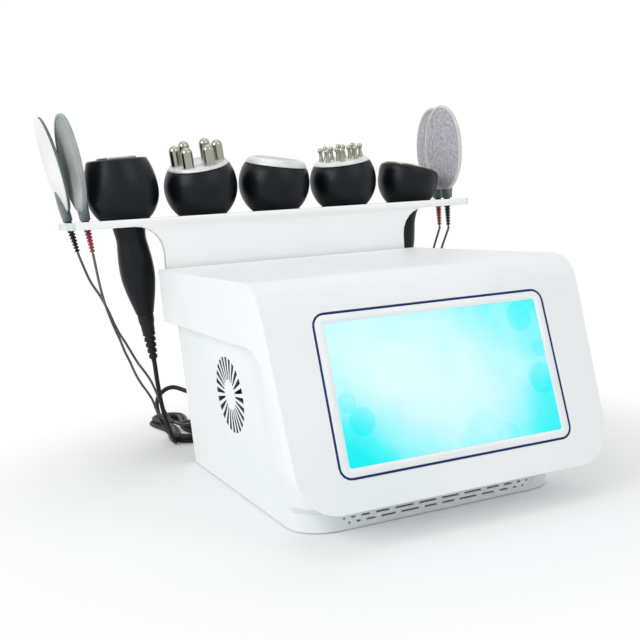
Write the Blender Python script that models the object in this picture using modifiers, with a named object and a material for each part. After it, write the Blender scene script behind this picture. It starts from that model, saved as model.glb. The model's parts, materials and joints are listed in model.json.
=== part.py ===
"""Desktop body sculpting machine with five handpieces and four electrode pads.

Metres, +Z up. X runs to the machine's right as seen from the front, and the screen faces -Y.
While it is built, Y is zero on the cabinet's back and the table is at Z zero. At the end the
whole machine is moved so that its footprint is centred on the origin.
"""
import math

import bmesh
import bpy
import numpy as np
from mathutils import Matrix, Vector

MM = 0.001

QUARTER = 90

# Gaps and overruns
GAP = 0.3 * MM
OVERRUN = 10 * MM

# Cabinet
HOOD_WIDTH = 335 * MM
HOOD_HEIGHT = 228 * MM
TOP_DEPTH = 302 * MM
FRONT_RUN = 60 * MM
CHIN_HEIGHT = 34 * MM
SIDE_DRAFT = 7.5 * MM
BEND_RADIUS = 36 * MM
CHIN_RADIUS = 36 * MM
HOOD_WALL = 3 * MM
HOOD_EDGE = 2 * MM
PANEL_FLANGE = 14 * MM
BAND_BOTTOM = 169 * MM
SEAM_RADIUS = 60 * MM

# Lower housing
BASE_HALF = 141 * MM
BASE_HALF_TOP = 150 * MM
BASE_OUT = 7 * MM
BASE_FRONT = TOP_DEPTH + BASE_OUT
BASE_CORNER = 35 * MM
BASE_WALL = 3 * MM
BASE_BOTTOM = 1 * MM
RECESS_HEIGHT = 18 * MM
FLARE_TOP = 70 * MM
FLARE_RUN = 84 * MM
FLARE_START = BASE_FRONT - FLARE_RUN
LEDGE_THICK = 3 * MM
LEDGE_SHORT = 40 * MM
LEDGE_DEPTH = TOP_DEPTH - LEDGE_SHORT
LEAST_CORNER = 0.6 * MM
WELD = 0.01 * MM

# Front vents: half of each row from its outer end to the middle
VENT_HEIGHT = 2.2 * MM
VENT_SPACE = 6 * MM
VENT_LOW = 8 * MM
VENT_RISE = 5 * MM
VENTS_HIGH_ROW = [v * MM for v in (2.2, 4.5, 9, 14, 19, 19)]
VENTS_LOW_ROW = [v * MM for v in (2.2, 4.2, 9.5, 14.5, 19, 13.3)]

# Fan and its grille in the left wall
FAN_BACK = 157 * MM
FAN_HEIGHT = 106.5 * MM
FAN_SIZE = 80 * MM
FAN_DEPTH = 25 * MM
FAN_DUCT = 38 * MM
FAN_TIP_GAP = 2.4 * MM
FAN_CORNER = 4 * MM
FAN_HUB = 15 * MM
FAN_HUB_EDGE = 1 * MM
FAN_ARM_SHARE = 0.4
FAN_POST = 4 * MM
FAN_BLADES = 7
FAN_BLADE_THICK = 1.6 * MM
FAN_BLADE_ROOT = 2 * MM
FAN_BLADE_PITCH = 38
FAN_CHORD_SHARE = 0.55
FAN_BACK_PLATE = 3 * MM
GRILLE_IN = 15.5 * MM
GRILLE_OUT = 39 * MM
GRILLE_SLOTS = 24
GRILLE_SLOT_IN = 1.6 * MM
GRILLE_SLOT_OUT = 5.8 * MM

# Screen
OUTLINE_WIDTH = 243.5 * MM
OUTLINE_HEIGHT = 145.5 * MM
OUTLINE_CORNER = 12 * MM
OUTLINE_LINE = 2 * MM
SCREEN_DOWN = 103.6 * MM
GLASS_THICK = 1.5 * MM
WINDOW_MARGIN = 6 * MM
DISPLAY_THICK = 7 * MM
DISPLAY_CONNECTOR = 40 * MM

# Bottom, feet and back
PLATE_THICK = 1.5 * MM
PLATE_BOTTOM = 3 * MM
FOOT_RADIUS = 9 * MM
FOOT_INSET = 28 * MM
FOOT_TAPER_SHARE = 0.85
BACK_PANEL_THICK = 2 * MM
BACK_PANEL_BOTTOM = 5 * MM

# Power supply and boards on the bottom plate
SUPPLY_LEFT = 20 * MM
SUPPLY_BACK = 40 * MM
SUPPLY_WIDE = 98 * MM
SUPPLY_DEEP = 130 * MM
SUPPLY_TALL = 45 * MM
SUPPLY_RIM = 4 * MM
SUPPLY_RIM_HEIGHT = 10 * MM
BOARD_IN = 29 * MM
BOARD_FRONT = BASE_FRONT - BOARD_IN
BOARD_RISE = 8 * MM
BOARD_THICK = 1.6 * MM
BOARD_POST = 5 * MM
CHIP_WIDE = 34 * MM
CHIP_DEEP = 26 * MM
# Each board's left and right edge, its depth, and the height of its tallest piece
SUPPLY_TO_BOARD = 20 * MM
DRIVER_DEEP = BOARD_FRONT - SUPPLY_BACK - SUPPLY_DEEP - SUPPLY_TO_BOARD
BOARDS = {"control_board": (-90 * MM, 0, 80 * MM, 14 * MM), "driver_board": (10 * MM, 120 * MM, DRIVER_DEEP, 20 * MM)}

# Sockets on the back
SOCKET_HEIGHT = 66 * MM
SOCKET_PITCH = 36 * MM
SOCKET_FIRST = -104 * MM
SOCKET_COUNT = 5
SOCKET_RADIUS = 8 * MM
SOCKET_FLANGE = 10.5 * MM
SOCKET_NUT = 2 * MM
SOCKET_REACH = 3.2 * MM
SOCKET_FLOOR = -0.4 * MM
SOCKET_BORE = 5.5 * MM
CONNECTOR_BOARD_BACK = 14 * MM
CONNECTOR_BOARD_THICK = 1.6 * MM
JACK_HEIGHT = 110 * MM
JACK_PLACES = [SOCKET_FIRST, SOCKET_FIRST + 4 * SOCKET_PITCH]
JACK_RADIUS = 4 * MM
JACK_FLANGE = 5.5 * MM
JACK_REACH = 3 * MM
JACK_BORE = 2.2 * MM
INLET_SIDE = 108 * MM
INLET_HEIGHT = 92 * MM
INLET_WIDTH = 28 * MM
INLET_TALL = 48 * MM
INLET_CORNER = 2 * MM
INLET_FLANGE = 5 * MM
INLET_FLANGE_THICK = 2.5 * MM
INLET_BODY = 24 * MM
INLET_FLANGE_CORNER = 3 * MM
INLET_MOUTH = 16.5 * MM
INLET_MOUTH_WIDE = 24 * MM
INLET_MOUTH_DEEP = 16 * MM
INLET_SHOULDER_SHARE = 0.7
INLET_CROWN_SHARE = 0.64
INLET_PIN_SHARES = (0.38, 0.62, 0.38)
INLET_PIN = 2 * MM
INLET_PIN_SPACE = 7 * MM
ROCKER_WIDE = 19 * MM
ROCKER_TALL = 12 * MM
ROCKER_POCKET = 8 * MM
ROCKER_NOTCH_SHARE = 0.15
ROCKER_HORN_SHARE = 0.28
ROCKER_HORN_WIDE_SHARE = 0.96

# Holder: shelf and tongue of clear-edged white sheet
SHEET = 8.5 * MM
SHELF_DEPTH = 90 * MM
SHELF_RISE = 58 * MM
SHELF_TOP = HOOD_HEIGHT + SHELF_RISE
SHELF_CORNER = 8 * MM
TONGUE_WIDTH = 311 * MM
TONGUE_FILLET = 32 * MM
STANDOFF = 6 * MM
BOLT_HEAD = 8 * MM
BOLT_CAP = 5 * MM
BOLT_EDGE = 1 * MM
BOLT_SHANK = 3 * MM
BOLT_LENGTH = 14 * MM
BOLT_SIDE = 112 * MM
BOLT_DOWN = 30 * MM
BOLT_HEIGHT = HOOD_HEIGHT - BOLT_DOWN
TONGUE_LAP = 32 * MM
TONGUE_BOTTOM = BOLT_HEIGHT - TONGUE_LAP
HOLE_RADIUS = 29 * MM
HOLE_BACK = 48 * MM
HOLE_SIDES = 24

# Handpieces: the five share one handle. Its line and its sleeve's are shares of a radius and a length.
HANDLE_RADIUS = 18.4 * MM
HANDLE_LENGTH = 112 * MM
HANDLE_SHARES = ((0.93, 0.107), (0.87, 0.214), (0.93, 0.321), (1, 0.446), (0.995, 0.61), (0.85, 0.768),
                 (0.65, 0.911), (0.52, 1))
GLAND_RADIUS = 9.4 * MM
GLAND_LENGTH = 22 * MM
GLAND_SHARES = ((1, 0), (0.98, 0.4), (0.83, 0.65), (0.81, 1))
GLAND_RIBS = 5
GLAND_RIB_PITCH = 7 * MM
GLAND_RIB_LENGTH = 4.6 * MM
GLAND_RIB_RADIUS = 7.4 * MM
GLAND_TIP_RADIUS = 5 * MM
GLAND_GROOVE = 1.2 * MM
NECK_RADIUS = 19 * MM
HEAD_SIDES = 20
HEAD_RADIUS = 44 * MM
HEAD_SPACE = 6.5 * MM
HOLE_PITCH = 2 * HEAD_RADIUS + HEAD_SPACE
SHELF_END = 68.5 * MM
SHELF_WIDTH = 4 * HOLE_PITCH + 2 * SHELF_END
CAVITATION = {"radius": 42 * MM, "top": 38.5 * MM, "stretch": 1.57, "slant": 3.5, "handle": 19.8 * MM}
SIX_POLE = {"radius": HEAD_RADIUS, "top": 24.5 * MM, "stretch": 1.0}
FLAT_HEAD = {"radius": HEAD_RADIUS, "top": 21.5 * MM, "stretch": 1.0}
BALL_PIN = {"radius": 42.5 * MM, "top": 22.5 * MM, "stretch": 1.0}
BOWL_HEAD = {"radius": 39.5 * MM, "top": 17 * MM, "stretch": 1.9, "slant": 4}
PLATE_EDGE = 0.8 * MM
CAVITATION_FACE = 23.3 * MM
CAVITATION_FACE_THICK = 2 * MM
POLES = 6
POLE_PLATE = 3.5 * MM
POLE_RING = 25 * MM
POLE_RADIUS = 6.2 * MM
POLE_HEIGHT = 27 * MM
POLE_START = math.radians(-14.5)
FLAT_PLATE = 27.5 * MM
FLAT_PLATE_THICK = 8 * MM
FLAT_PLATE_DOME = 0.6 * MM
FLAT_RIM_EDGE = 6 * MM
SMALL_PIN_PLATE = 4.5 * MM
SMALL_PIN_PLATE_EDGE = 3.6 * MM
SMALL_PIN_RADIUS = 2.4 * MM
SMALL_BALL_RADIUS = 3.4 * MM
SMALL_BALL_NECK_SHARE = 0.7
SMALL_PIN_HEIGHT = 17 * MM
OUTER_PINS = 8
OUTER_PIN_RING = 25 * MM
INNER_PINS = 4
INNER_PIN_RING = 12 * MM
BOWL_RING_OUTER = 33 * MM
BOWL_RING_INNER = 30.5 * MM
BOWL_RING_THICK = 1.5 * MM

# How each handpiece leans in its hole: to the right and to the front, in degrees
CAVITATION_LEAN = (-6.3, 1.5)
SIX_POLE_LEAN = (-6.5, 12)
FLAT_HEAD_LEAN = (6.5, 9)
BALL_PIN_LEAN = (-4.5, 6.5)
BOWL_HEAD_LEAN = (9.5, 3)

# Electrode pads
PAD_FRONT = 44.5 * MM
PAD_REAR = 74 * MM
PAD_LEFT_REAR_INSET = 9 * MM
PAD_LEFT_FRONT_INSET = 23 * MM
PAD_RIGHT_FRONT_INSET = 11.5 * MM
PAD_RIGHT_REAR_INSET = 7 * MM
PAD_WIDTH = 64 * MM
PAD_HEIGHT = 112 * MM
PAD_THICK = 9 * MM
PAD_EDGE = 4.6 * MM
PAD_ROUND = 0.8 * MM
PAD_RIM = 4 * MM
PAD_RECESS = 1.2 * MM
PAD_FACE_THICK = 0.9 * MM
PAD_LIFT_OFF = 11 * MM
NECK_WIDE = 18 * MM
NECK_THICK = 11 * MM
NECK_BOTTOM = 3.5 * MM
NECK_TALL = 38 * MM
RELIEF_RADIUS = 4 * MM
RELIEF_TIP = 2.6 * MM
RELIEF_LENGTH = 36 * MM
RELIEF_RIBS = 5
RELIEF_RIB_SHARE = 0.6
PAD_SIDES = 22
# The back's swell from its middle to its edge, and the leaf-shaped neck from its foot to its tip
PAD_BACK_SHARES = ((0, 1), (0.5, 0.78), (0.82, 0.36))
NECK_SHARES = ((0.8, 0), (1, 0.3), (0.94, 0.55), (0.55, 0.85), (0, 1))
RELIEF_GROOVE = 0.8 * MM
PAD_HOLE_RADIUS = 5.6 * MM

# Cords
CORD_DIAMETER = 5.4 * MM
CORD_STEP = 12 * MM
LEAD_DIAMETER = 3 * MM
LEAD_STEP = 10.5 * MM
LEAD_PITCH = 3.6 * MM
PLUG_NOSE = 5.1 * MM
PLUG_RADIUS = 8 * MM
PLUG_LENGTH = 26 * MM
PLUG_TAIL = 5 * MM
PLUG_TAIL_LENGTH = 9 * MM
JACK_PLUG_NOSE = 1.8 * MM
JACK_PLUG_RADIUS = 5.2 * MM
JACK_PLUG_LENGTH = 22 * MM
HANK_HALF = 54 * MM
HANK_LAYERS = 2
HANK_TURNS = 2
HANK_OUTER = 24 * MM
HANK_RUN = 4
HANK_BEND = 8
HANK_STEP = 6.2 * MM
HANK_RISE = 6.1 * MM
HANK_WAIST = 7.5 * MM
GAP_STEP = 0.8 * MM
HANK_PLACE = (-112 * MM, 165 * MM)

# Places that the free cords pass, between their straight ends
CORD_ROUTE = [(x * MM, y * MM, z * MM) for x, y, z in (
    (-166, 54, 108), (-163.5, 60, 92), (-160, 68, 74), (-155.5, 76, 54), (-150, 83, 35), (-144, 89, 18),
    (-139, 94, 7), (-137, 99, 3.6))]
TAIL_ROUTE = [(x * MM, y * MM, z * MM) for x, y, z in (
    (-137.5, 128, 12), (-141, 136, 21), (-146, 134, 35), (-150, 124, 49), (-151, 109, 62), (-148, 100, 69),
    (-142, 97, 73), (-135, 95, 74), (-128, 90, 72), (-119, 79, 68), (-110, 65, 65.6))]
LEAD_ROUTES = {
    "left_rear": [(x * MM, y * MM, z * MM) for x, y, z in (
        (-230, 75, 218), (-219, 77, 198), (-210, 79, 178), (-205, 80, 164), (-199, 81, 150), (-193.5, 81, 139.8),
        (-187, 81.5, 126.7), (-179.6, 82.5, 112), (-171.8, 84, 99.8), (-165, 86, 88), (-160, 88, 76),
        (-154, 92, 60), (-147, 98, 45), (-138, 107, 31), (-126, 120, 21), (-112, 132, 15.5), (-97, 141, 14.8),
        (-84, 148, 12.5), (-74, 157, 5.5), (-62, 170, 2), (-44, 180, 2), (-24, 178, 2), (-12, 160, 2),
        (-14, 135, 2), (-28, 112, 5), (-48, 92, 20), (-68, 75, 46), (-86, 62, 76), (-99, 52, 98))],
    "left_front": [(x * MM, y * MM, z * MM) for x, y, z in (
        (-225, 50, 221), (-221, 56, 202), (-215, 64, 182), (-208, 71, 163), (-200.4, 75.5, 143.4),
        (-195.5, 77, 128.5), (-190, 78.5, 115), (-184.5, 80, 100), (-177.5, 83, 86), (-170, 88, 74.5),
        (-162, 96, 61), (-156, 106, 47), (-147, 118, 34), (-135, 131, 24), (-120, 143, 17), (-105, 152, 15.2),
        (-91, 158, 13.8), (-79, 166, 6.5), (-66, 180, 2), (-44, 194, 2), (-18, 192, 2), (1, 170, 2),
        (-2, 138, 2), (-18, 108, 6), (-40, 84, 24), (-62, 66, 52), (-80, 54, 82), (-94, 45, 100))],
    "right_front": [(x * MM, y * MM, z * MM) for x, y, z in (
        (235, 45, 222), (224, 50, 190), (214, 58, 150), (205, 70, 105), (196, 88, 60), (184, 112, 22),
        (176, 150, 4), (165, 195, 2), (140, 232, 2), (104, 246, 2), (70, 232, 2), (50, 196, 2), (43, 160, 3),
        (41, 125, 14), (41.5, 90, 45), (42, 62, 82), (42, 45, 104))],
    "right_rear": [(x * MM, y * MM, z * MM) for x, y, z in (
        (241, 75, 221), (232, 79, 190), (224, 86, 150), (216, 98, 105), (207, 116, 60), (194, 142, 20),
        (188, 176, 4), (176, 214, 2), (148, 248, 2), (104, 260, 2), (62, 246, 2), (36, 206, 2), (27, 168, 3),
        (23, 128, 14), (26, 90, 45), (33, 62, 82), (37.5, 45, 104))]}

scene = bpy.context.scene
for old in list(bpy.data.objects):
    bpy.data.objects.remove(old)


def new_collection(name):
    group = bpy.data.collections.new(name)
    scene.collection.children.link(group)
    return group


machine = new_collection("body_sculpting_machine")
tools = new_collection("cutters")

machine_frame = bpy.data.objects.new("machine_frame", None)
machine.objects.link(machine_frame)


def material(name, colour, roughness, metallic=0.0, alpha=1.0):
    """A Principled material from an sRGB hex colour."""
    mat = bpy.data.materials.new(name)
    mat.use_nodes = True
    channels = [int(colour[i:i + 2], 16) / 255 for i in (0, 2, 4)]
    linear = [c / 12.92 if c <= 0.04045 else ((c + 0.055) / 1.055) ** 2.4 for c in channels]
    shader = mat.node_tree.nodes["Principled BSDF"]
    shader.inputs["Base Color"].default_value = (*linear, 1)
    shader.inputs["Roughness"].default_value = roughness
    shader.inputs["Metallic"].default_value = metallic
    shader.inputs["Alpha"].default_value = alpha
    mat.diffuse_color = (*linear, 1)
    return mat


WHITE = material("white_abs", "EEF1F2", 0.35)
ACRYLIC = material("white_acrylic", "F1F5F4", 0.2)
BLACK = material("black_satin_abs", "23272B", 0.38)
BLACK_RUBBER = material("black_rubber", "1B1C1E", 0.7)
NAVY = material("navy_print", "0B2A5B", 0.4)
SCREEN = material("screen_glass", "9FF3FA", 0.12)
DARK = material("display_module", "2A2E33", 0.5)
CHROME = material("chrome", "C9CBC8", 0.12, 1.0)
STEEL = material("plated_steel", "A8ABAE", 0.35, 1.0)
PALE = material("pale_plate", "E4E7E6", 0.3)
BOARD = material("circuit_board", "1F6B45", 0.5)
PAD_GREY = material("pad_shell_grey", "B9BDBE", 0.45)
FABRIC = material("conductive_face", "9B9CA6", 0.55)
CORD = material("cord_dark", "2B2E28", 0.55)
RED = material("red_boot", "A31F35", 0.5)


def link(obj, mat=None, parent=machine_frame, cutter=False):
    (tools if cutter else machine).objects.link(obj)
    if mat:
        obj.data.materials.append(mat)
    if cutter:
        obj.hide_render = True
        obj.display_type = "WIRE"
    obj.parent = parent
    return obj


def empty(name, place, turn=(0, 0, 0), parent=machine_frame):
    obj = bpy.data.objects.new(name, None)
    machine.objects.link(obj)
    obj.parent = parent
    obj.location = place
    obj.rotation_euler = turn
    return obj


def evaluated_mesh(obj):
    """The object's mesh with its modifiers or its curve resolved, seams welded."""
    bpy.context.view_layer.update()
    graph = bpy.context.evaluated_depsgraph_get()
    mesh = bpy.data.meshes.new_from_object(obj.evaluated_get(graph))
    shape = bmesh.new()
    shape.from_mesh(mesh)
    bmesh.ops.remove_doubles(shape, verts=shape.verts, dist=WELD)
    bmesh.ops.recalc_face_normals(shape, faces=shape.faces)
    shape.to_mesh(mesh)
    shape.free()
    return mesh


def settle(obj):
    """Turns a curve or a modified object into a plain mesh object in the same place."""
    mesh = evaluated_mesh(obj)
    fresh = bpy.data.objects.new(obj.name, mesh)
    for group in obj.users_collection:
        group.objects.link(fresh)
    fresh.parent = obj.parent
    fresh.matrix_basis = obj.matrix_basis.copy()
    fresh.hide_render = obj.hide_render
    fresh.display_type = obj.display_type
    name = obj.name
    bpy.data.objects.remove(obj)
    fresh.name = name
    return fresh


def smooth(obj, angle=35):
    obj.data.shade_smooth()
    obj.data.set_sharp_from_angle(angle=math.radians(angle))
    return obj


def prism(name, outline, thickness, mat=None, parent=machine_frame, holes=(), cutter=False, turn=(0, 0, 0),
          place=(0, 0, 0)):
    """A flat outline, with holes, extruded evenly to both sides of its own plane."""
    curve = bpy.data.curves.new(name, "CURVE")
    curve.dimensions = "2D"
    curve.fill_mode = "BOTH"
    curve.extrude = thickness / 2
    for ring in (outline, *holes):
        line = curve.splines.new("POLY")
        line.points.add(len(ring) - 1)
        for point, (u, v) in zip(line.points, ring):
            point.co = (u, v, 0, 1)
        line.use_cyclic_u = True
    obj = bpy.data.objects.new(name, curve)
    link(obj, mat, parent, cutter)
    obj.location = place
    obj.rotation_euler = turn
    return settle(obj)


# Turns that stand a flat outline up: its u, v become the machine's Y, Z or X, Z
STAND_ALONG_X = (math.pi / 2, 0, math.pi / 2)
STAND_ALONG_Y = (math.pi / 2, 0, 0)


def turned(name, profile, mat=None, parent=machine_frame, sides=24, cutter=False, place=(0, 0, 0), turn=(0, 0, 0)):
    """A profile of (radius, height) points, listed from the top down the outer side, turned about Z."""
    mesh = bpy.data.meshes.new(name)
    mesh.from_pydata([(r, 0, z) for r, z in profile], [(i, i + 1) for i in range(len(profile) - 1)], [])
    obj = bpy.data.objects.new(name, mesh)
    link(obj, mat, parent, cutter)
    obj.location = place
    obj.rotation_euler = turn
    screw = obj.modifiers.new("turn", "SCREW")
    screw.steps = screw.render_steps = sides
    screw.use_merge_vertices = True
    screw.merge_threshold = 0.01 * MM
    return settle(obj)


def box(name, low, high, mat=None, parent=machine_frame, cutter=False):
    """A box between two corners."""
    shape = bmesh.new()
    bmesh.ops.create_cube(shape, size=1)
    size = [b - a for a, b in zip(low, high)]
    middle = [(a + b) / 2 for a, b in zip(low, high)]
    bmesh.ops.scale(shape, vec=size, verts=shape.verts)
    bmesh.ops.translate(shape, vec=middle, verts=shape.verts)
    mesh = bpy.data.meshes.new(name)
    shape.to_mesh(mesh)
    shape.free()
    return link(bpy.data.objects.new(name, mesh), mat, parent, cutter)


def joined(name, pieces):
    """Several solids as one object, kept apart as separate bodies."""
    shape = bmesh.new()
    bpy.context.view_layer.update()
    into = pieces[0].matrix_world.inverted()
    for piece in pieces:
        part = bmesh.new()
        part.from_mesh(piece.data)
        part.transform(into @ piece.matrix_world)
        scratch = bpy.data.meshes.new("scratch")
        part.to_mesh(scratch)
        part.free()
        shape.from_mesh(scratch)
        bpy.data.meshes.remove(scratch)
    shape.to_mesh(pieces[0].data)
    shape.free()
    for piece in pieces[1:]:
        bpy.data.objects.remove(piece)
    pieces[0].name = name
    return pieces[0]


def combine(target, other, operation="DIFFERENCE"):
    """One exact Boolean, resolved at once, with the other solid used up."""
    bpy.context.view_layer.update()
    change = target.modifiers.new("combine", "BOOLEAN")
    change.operation = operation
    change.solver = "EXACT"
    change.object = other
    fresh = settle(target)
    bpy.data.objects.remove(other)
    return fresh


def arc(centre, radius, start, end, steps):
    """Points along a circle from one angle to another, in degrees."""
    return [(centre[0] + radius * math.cos(math.radians(start + (end - start) * i / steps)),
             centre[1] + radius * math.sin(math.radians(start + (end - start) * i / steps)))
            for i in range(steps + 1)]


def rounded(width, height, radius, steps=4, centre=(0, 0)):
    """A rectangle with round corners, anticlockwise."""
    u, v = width / 2 - radius, height / 2 - radius
    points = []
    for k, (su, sv) in enumerate(((1, 1), (-1, 1), (-1, -1), (1, -1))):
        points += arc((centre[0] + su * u, centre[1] + sv * v), radius, QUARTER * k, QUARTER * (k + 1), steps)
    return points


def circle(radius, sides, centre=(0, 0)):
    return arc(centre, radius, 0, 360 - 360 / sides, sides - 1)


def fillet(before, corner, after, radius, steps):
    """The arc that rounds a corner of a line."""
    corner = Vector(corner)
    one = (Vector(before) - corner).normalized()
    two = (Vector(after) - corner).normalized()
    half = one.angle(two) / 2
    reach = radius / math.tan(half)
    middle = corner + (one + two).normalized() * (radius / math.sin(half))
    first = corner + one * reach - middle
    last = corner + two * reach - middle
    sweep = first.angle(last)
    turn = 1 if first.cross(last) > 0 else -1
    points = []
    for i in range(steps + 1):
        spin = Matrix.Rotation(turn * sweep * i / steps, 2)
        points.append(tuple(middle + spin @ first))
    return points


# Cabinet sections, shared by the hood, the lower housing and the screen

PANEL_RISE = HOOD_HEIGHT - CHIN_HEIGHT
PANEL_LENGTH = math.hypot(FRONT_RUN, PANEL_RISE)
PANEL_LEAN = math.atan2(FRONT_RUN, PANEL_RISE)


def panel_y(z, behind=0.0):
    """Y of the front panel's face at a height, or of a plane parallel to it and behind it."""
    return -TOP_DEPTH - FRONT_RUN * (HOOD_HEIGHT - z) / PANEL_RISE + behind / math.cos(PANEL_LEAN)


def hood_half(z, inset=0.0):
    """Half the hood's width at a height: its sides draw in towards the bottom."""
    return HOOD_WIDTH / 2 - SIDE_DRAFT * (HOOD_HEIGHT - z) / PANEL_RISE - inset


def hood_side(inset=0.0, flank=True):
    """The hood's side view. With flank it ends at the band's lower edge, else it is all filled in."""
    top = HOOD_HEIGHT - inset
    back = 0 if flank else OVERRUN
    low = CHIN_HEIGHT - OVERRUN
    bend = (panel_y(top, inset), top)
    front = fillet((0, top), bend, (panel_y(low, inset), low), BEND_RADIUS - inset, 7)
    outline = [(back, top), *front, (panel_y(low, inset), low)]
    if not flank:
        return outline + [(back, low)]
    behind = PANEL_FLANGE
    corner = (panel_y(BAND_BOTTOM, behind), BAND_BOTTOM)
    seam = fillet((panel_y(low, behind), low), corner, (0, BAND_BOTTOM), SEAM_RADIUS, 9)
    return outline + [(panel_y(low, behind), low), *seam, (0, BAND_BOTTOM)]


def hood_front(inset=0.0):
    """The hood's front view: sides drawn in, round corners at the chin."""
    low = CHIN_HEIGHT + inset
    radius = CHIN_RADIUS - inset
    top = HOOD_HEIGHT - inset
    corner = (hood_half(low, inset), low)
    side = fillet((0, low), corner, (hood_half(top, inset), top), radius, 6)
    edge = HOOD_EDGE if inset == 0 else HOOD_EDGE / 2
    crown = fillet(corner, (hood_half(top, inset), top), (0, top), edge, 2)
    right = side + crown
    return right + [(-x, z) for x, z in reversed(right)]


def make_hood():
    depth = 2 * (TOP_DEPTH + FRONT_RUN + OVERRUN)
    width = HOOD_WIDTH + OVERRUN
    hood = prism("hood", hood_side(), width, WHITE, turn=STAND_ALONG_X)
    hood = combine(hood, prism("hood_outline", hood_front(), depth, cutter=True, turn=STAND_ALONG_Y), "INTERSECT")
    inside = prism("hood_inside", hood_side(HOOD_WALL, flank=False), width, cutter=True, turn=STAND_ALONG_X)
    inside = combine(inside, prism("hood_inside_outline", hood_front(HOOD_WALL), depth, cutter=True,
                                   turn=STAND_ALONG_Y), "INTERSECT")
    hood = combine(hood, inside)
    recess = prism("recess", rounded(OUTLINE_WIDTH, OUTLINE_HEIGHT, OUTLINE_CORNER), 2 * (GLASS_THICK + GAP),
                   cutter=True, parent=panel_frame)
    hood = combine(hood, recess)
    window = prism("window", rounded(OUTLINE_WIDTH - 2 * WINDOW_MARGIN, OUTLINE_HEIGHT - 2 * WINDOW_MARGIN,
                                     OUTLINE_CORNER - WINDOW_MARGIN), 4 * HOOD_WALL, cutter=True, parent=panel_frame)
    return smooth(combine(hood, window))


# The front panel's own frame: origin at the screen's middle on the outer face, Z out of the face
down = Vector((0, -math.sin(PANEL_LEAN), -math.cos(PANEL_LEAN)))
panel_frame = empty("panel_frame", Vector((0, -TOP_DEPTH, HOOD_HEIGHT)) + down * SCREEN_DOWN,
                    (math.pi / 2 - PANEL_LEAN, 0, 0))


def make_screen():
    line = rounded(OUTLINE_WIDTH - 2 * GAP, OUTLINE_HEIGHT - 2 * GAP, OUTLINE_CORNER - GAP)
    inner = rounded(OUTLINE_WIDTH - 2 * OUTLINE_LINE, OUTLINE_HEIGHT - 2 * OUTLINE_LINE,
                    OUTLINE_CORNER - OUTLINE_LINE)
    middle = (0, 0, -GLASS_THICK / 2)
    smooth(prism("screen_trim", line, GLASS_THICK, NAVY, panel_frame, holes=[inner], place=middle))
    edge = OUTLINE_LINE + GAP
    glass = rounded(OUTLINE_WIDTH - 2 * edge, OUTLINE_HEIGHT - 2 * edge, OUTLINE_CORNER - edge)
    smooth(prism("touch_glass", glass, GLASS_THICK, SCREEN, panel_frame, place=middle))
    inset = WINDOW_MARGIN + GAP
    module = rounded(OUTLINE_WIDTH - 2 * inset, OUTLINE_HEIGHT - 2 * inset, OUTLINE_CORNER - inset, 2)
    front = GLASS_THICK + GAP
    display = prism("display_module", module, DISPLAY_THICK, DARK, panel_frame,
                    place=(0, 0, -front - DISPLAY_THICK / 2))
    board = box("display_driver", (-DISPLAY_CONNECTOR, -DISPLAY_CONNECTOR / 2, -front - 2 * DISPLAY_THICK),
                (DISPLAY_CONNECTOR, DISPLAY_CONNECTOR / 2, -front - DISPLAY_THICK / 2), parent=panel_frame)
    combine(display, board, "UNION")


# Lower housing

def ease(t):
    t = min(max(t, 0.0), 1.0)
    return t * t * (3 - 2 * t)


def base_half(z):
    """Half the lower housing's width along its straight flank."""
    return BASE_HALF + (BASE_HALF_TOP - BASE_HALF) * min(z / BAND_BOTTOM, 1)


def base_flare(z):
    """Half its width where the flank meets the front panel."""
    share = ease((z - RECESS_HEIGHT) / (FLARE_TOP - RECESS_HEIGHT))
    return base_half(z) + (hood_half(z) - base_half(z)) * share


def base_front(z):
    """Y of its front: upright at the vents, then out under the chin, then along the panel."""
    if z >= CHIN_HEIGHT:
        return panel_y(z, PANEL_FLANGE + 2 * GAP)
    out = panel_y(CHIN_HEIGHT, PANEL_FLANGE + 2 * GAP) + BASE_FRONT
    return -BASE_FRONT + out * max((z - RECESS_HEIGHT) / (CHIN_HEIGHT - RECESS_HEIGHT), 0) ** 2


def base_line_half(z):
    """Half the length of the front's straight line, which follows the chin's round corners."""
    low = base_half(0) - BASE_CORNER
    if z < CHIN_HEIGHT:
        high = hood_half(CHIN_HEIGHT) - CHIN_RADIUS
        return low + (high - low) * ease((z - RECESS_HEIGHT) / (CHIN_HEIGHT - RECESS_HEIGHT))
    drop = max(CHIN_HEIGHT + CHIN_RADIUS - z, 0)
    return hood_half(z) - CHIN_RADIUS + math.sqrt(max(CHIN_RADIUS ** 2 - drop ** 2, 0))


def base_ring(z, inset=0.0, back=0.0, lift=0.0):
    """One level outline of the lower housing, at height z, with the shape that it has at z - lift."""
    at = max(z - lift, 0)
    flare = base_flare(at)
    corner = max(flare - min(base_line_half(at), flare) - inset, LEAST_CORNER)
    front = base_front(at) + inset
    start = -FLARE_START
    stop = front + corner
    right = [(base_half(at) - inset, back)]
    for i in range(6):
        share = i / 5
        right.append((base_half(at) - inset + (flare - base_half(at)) * ease(share), start + (stop - start) * share))
    for i in range(1, 5):
        angle = math.pi / 2 * i / 4
        right.append((flare - inset - corner * (1 - math.cos(angle)), stop - corner * math.sin(angle)))
    ring = right + [(-x, y) for x, y in reversed(right)]
    return [(x, y, z) for x, y in ring]


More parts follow.
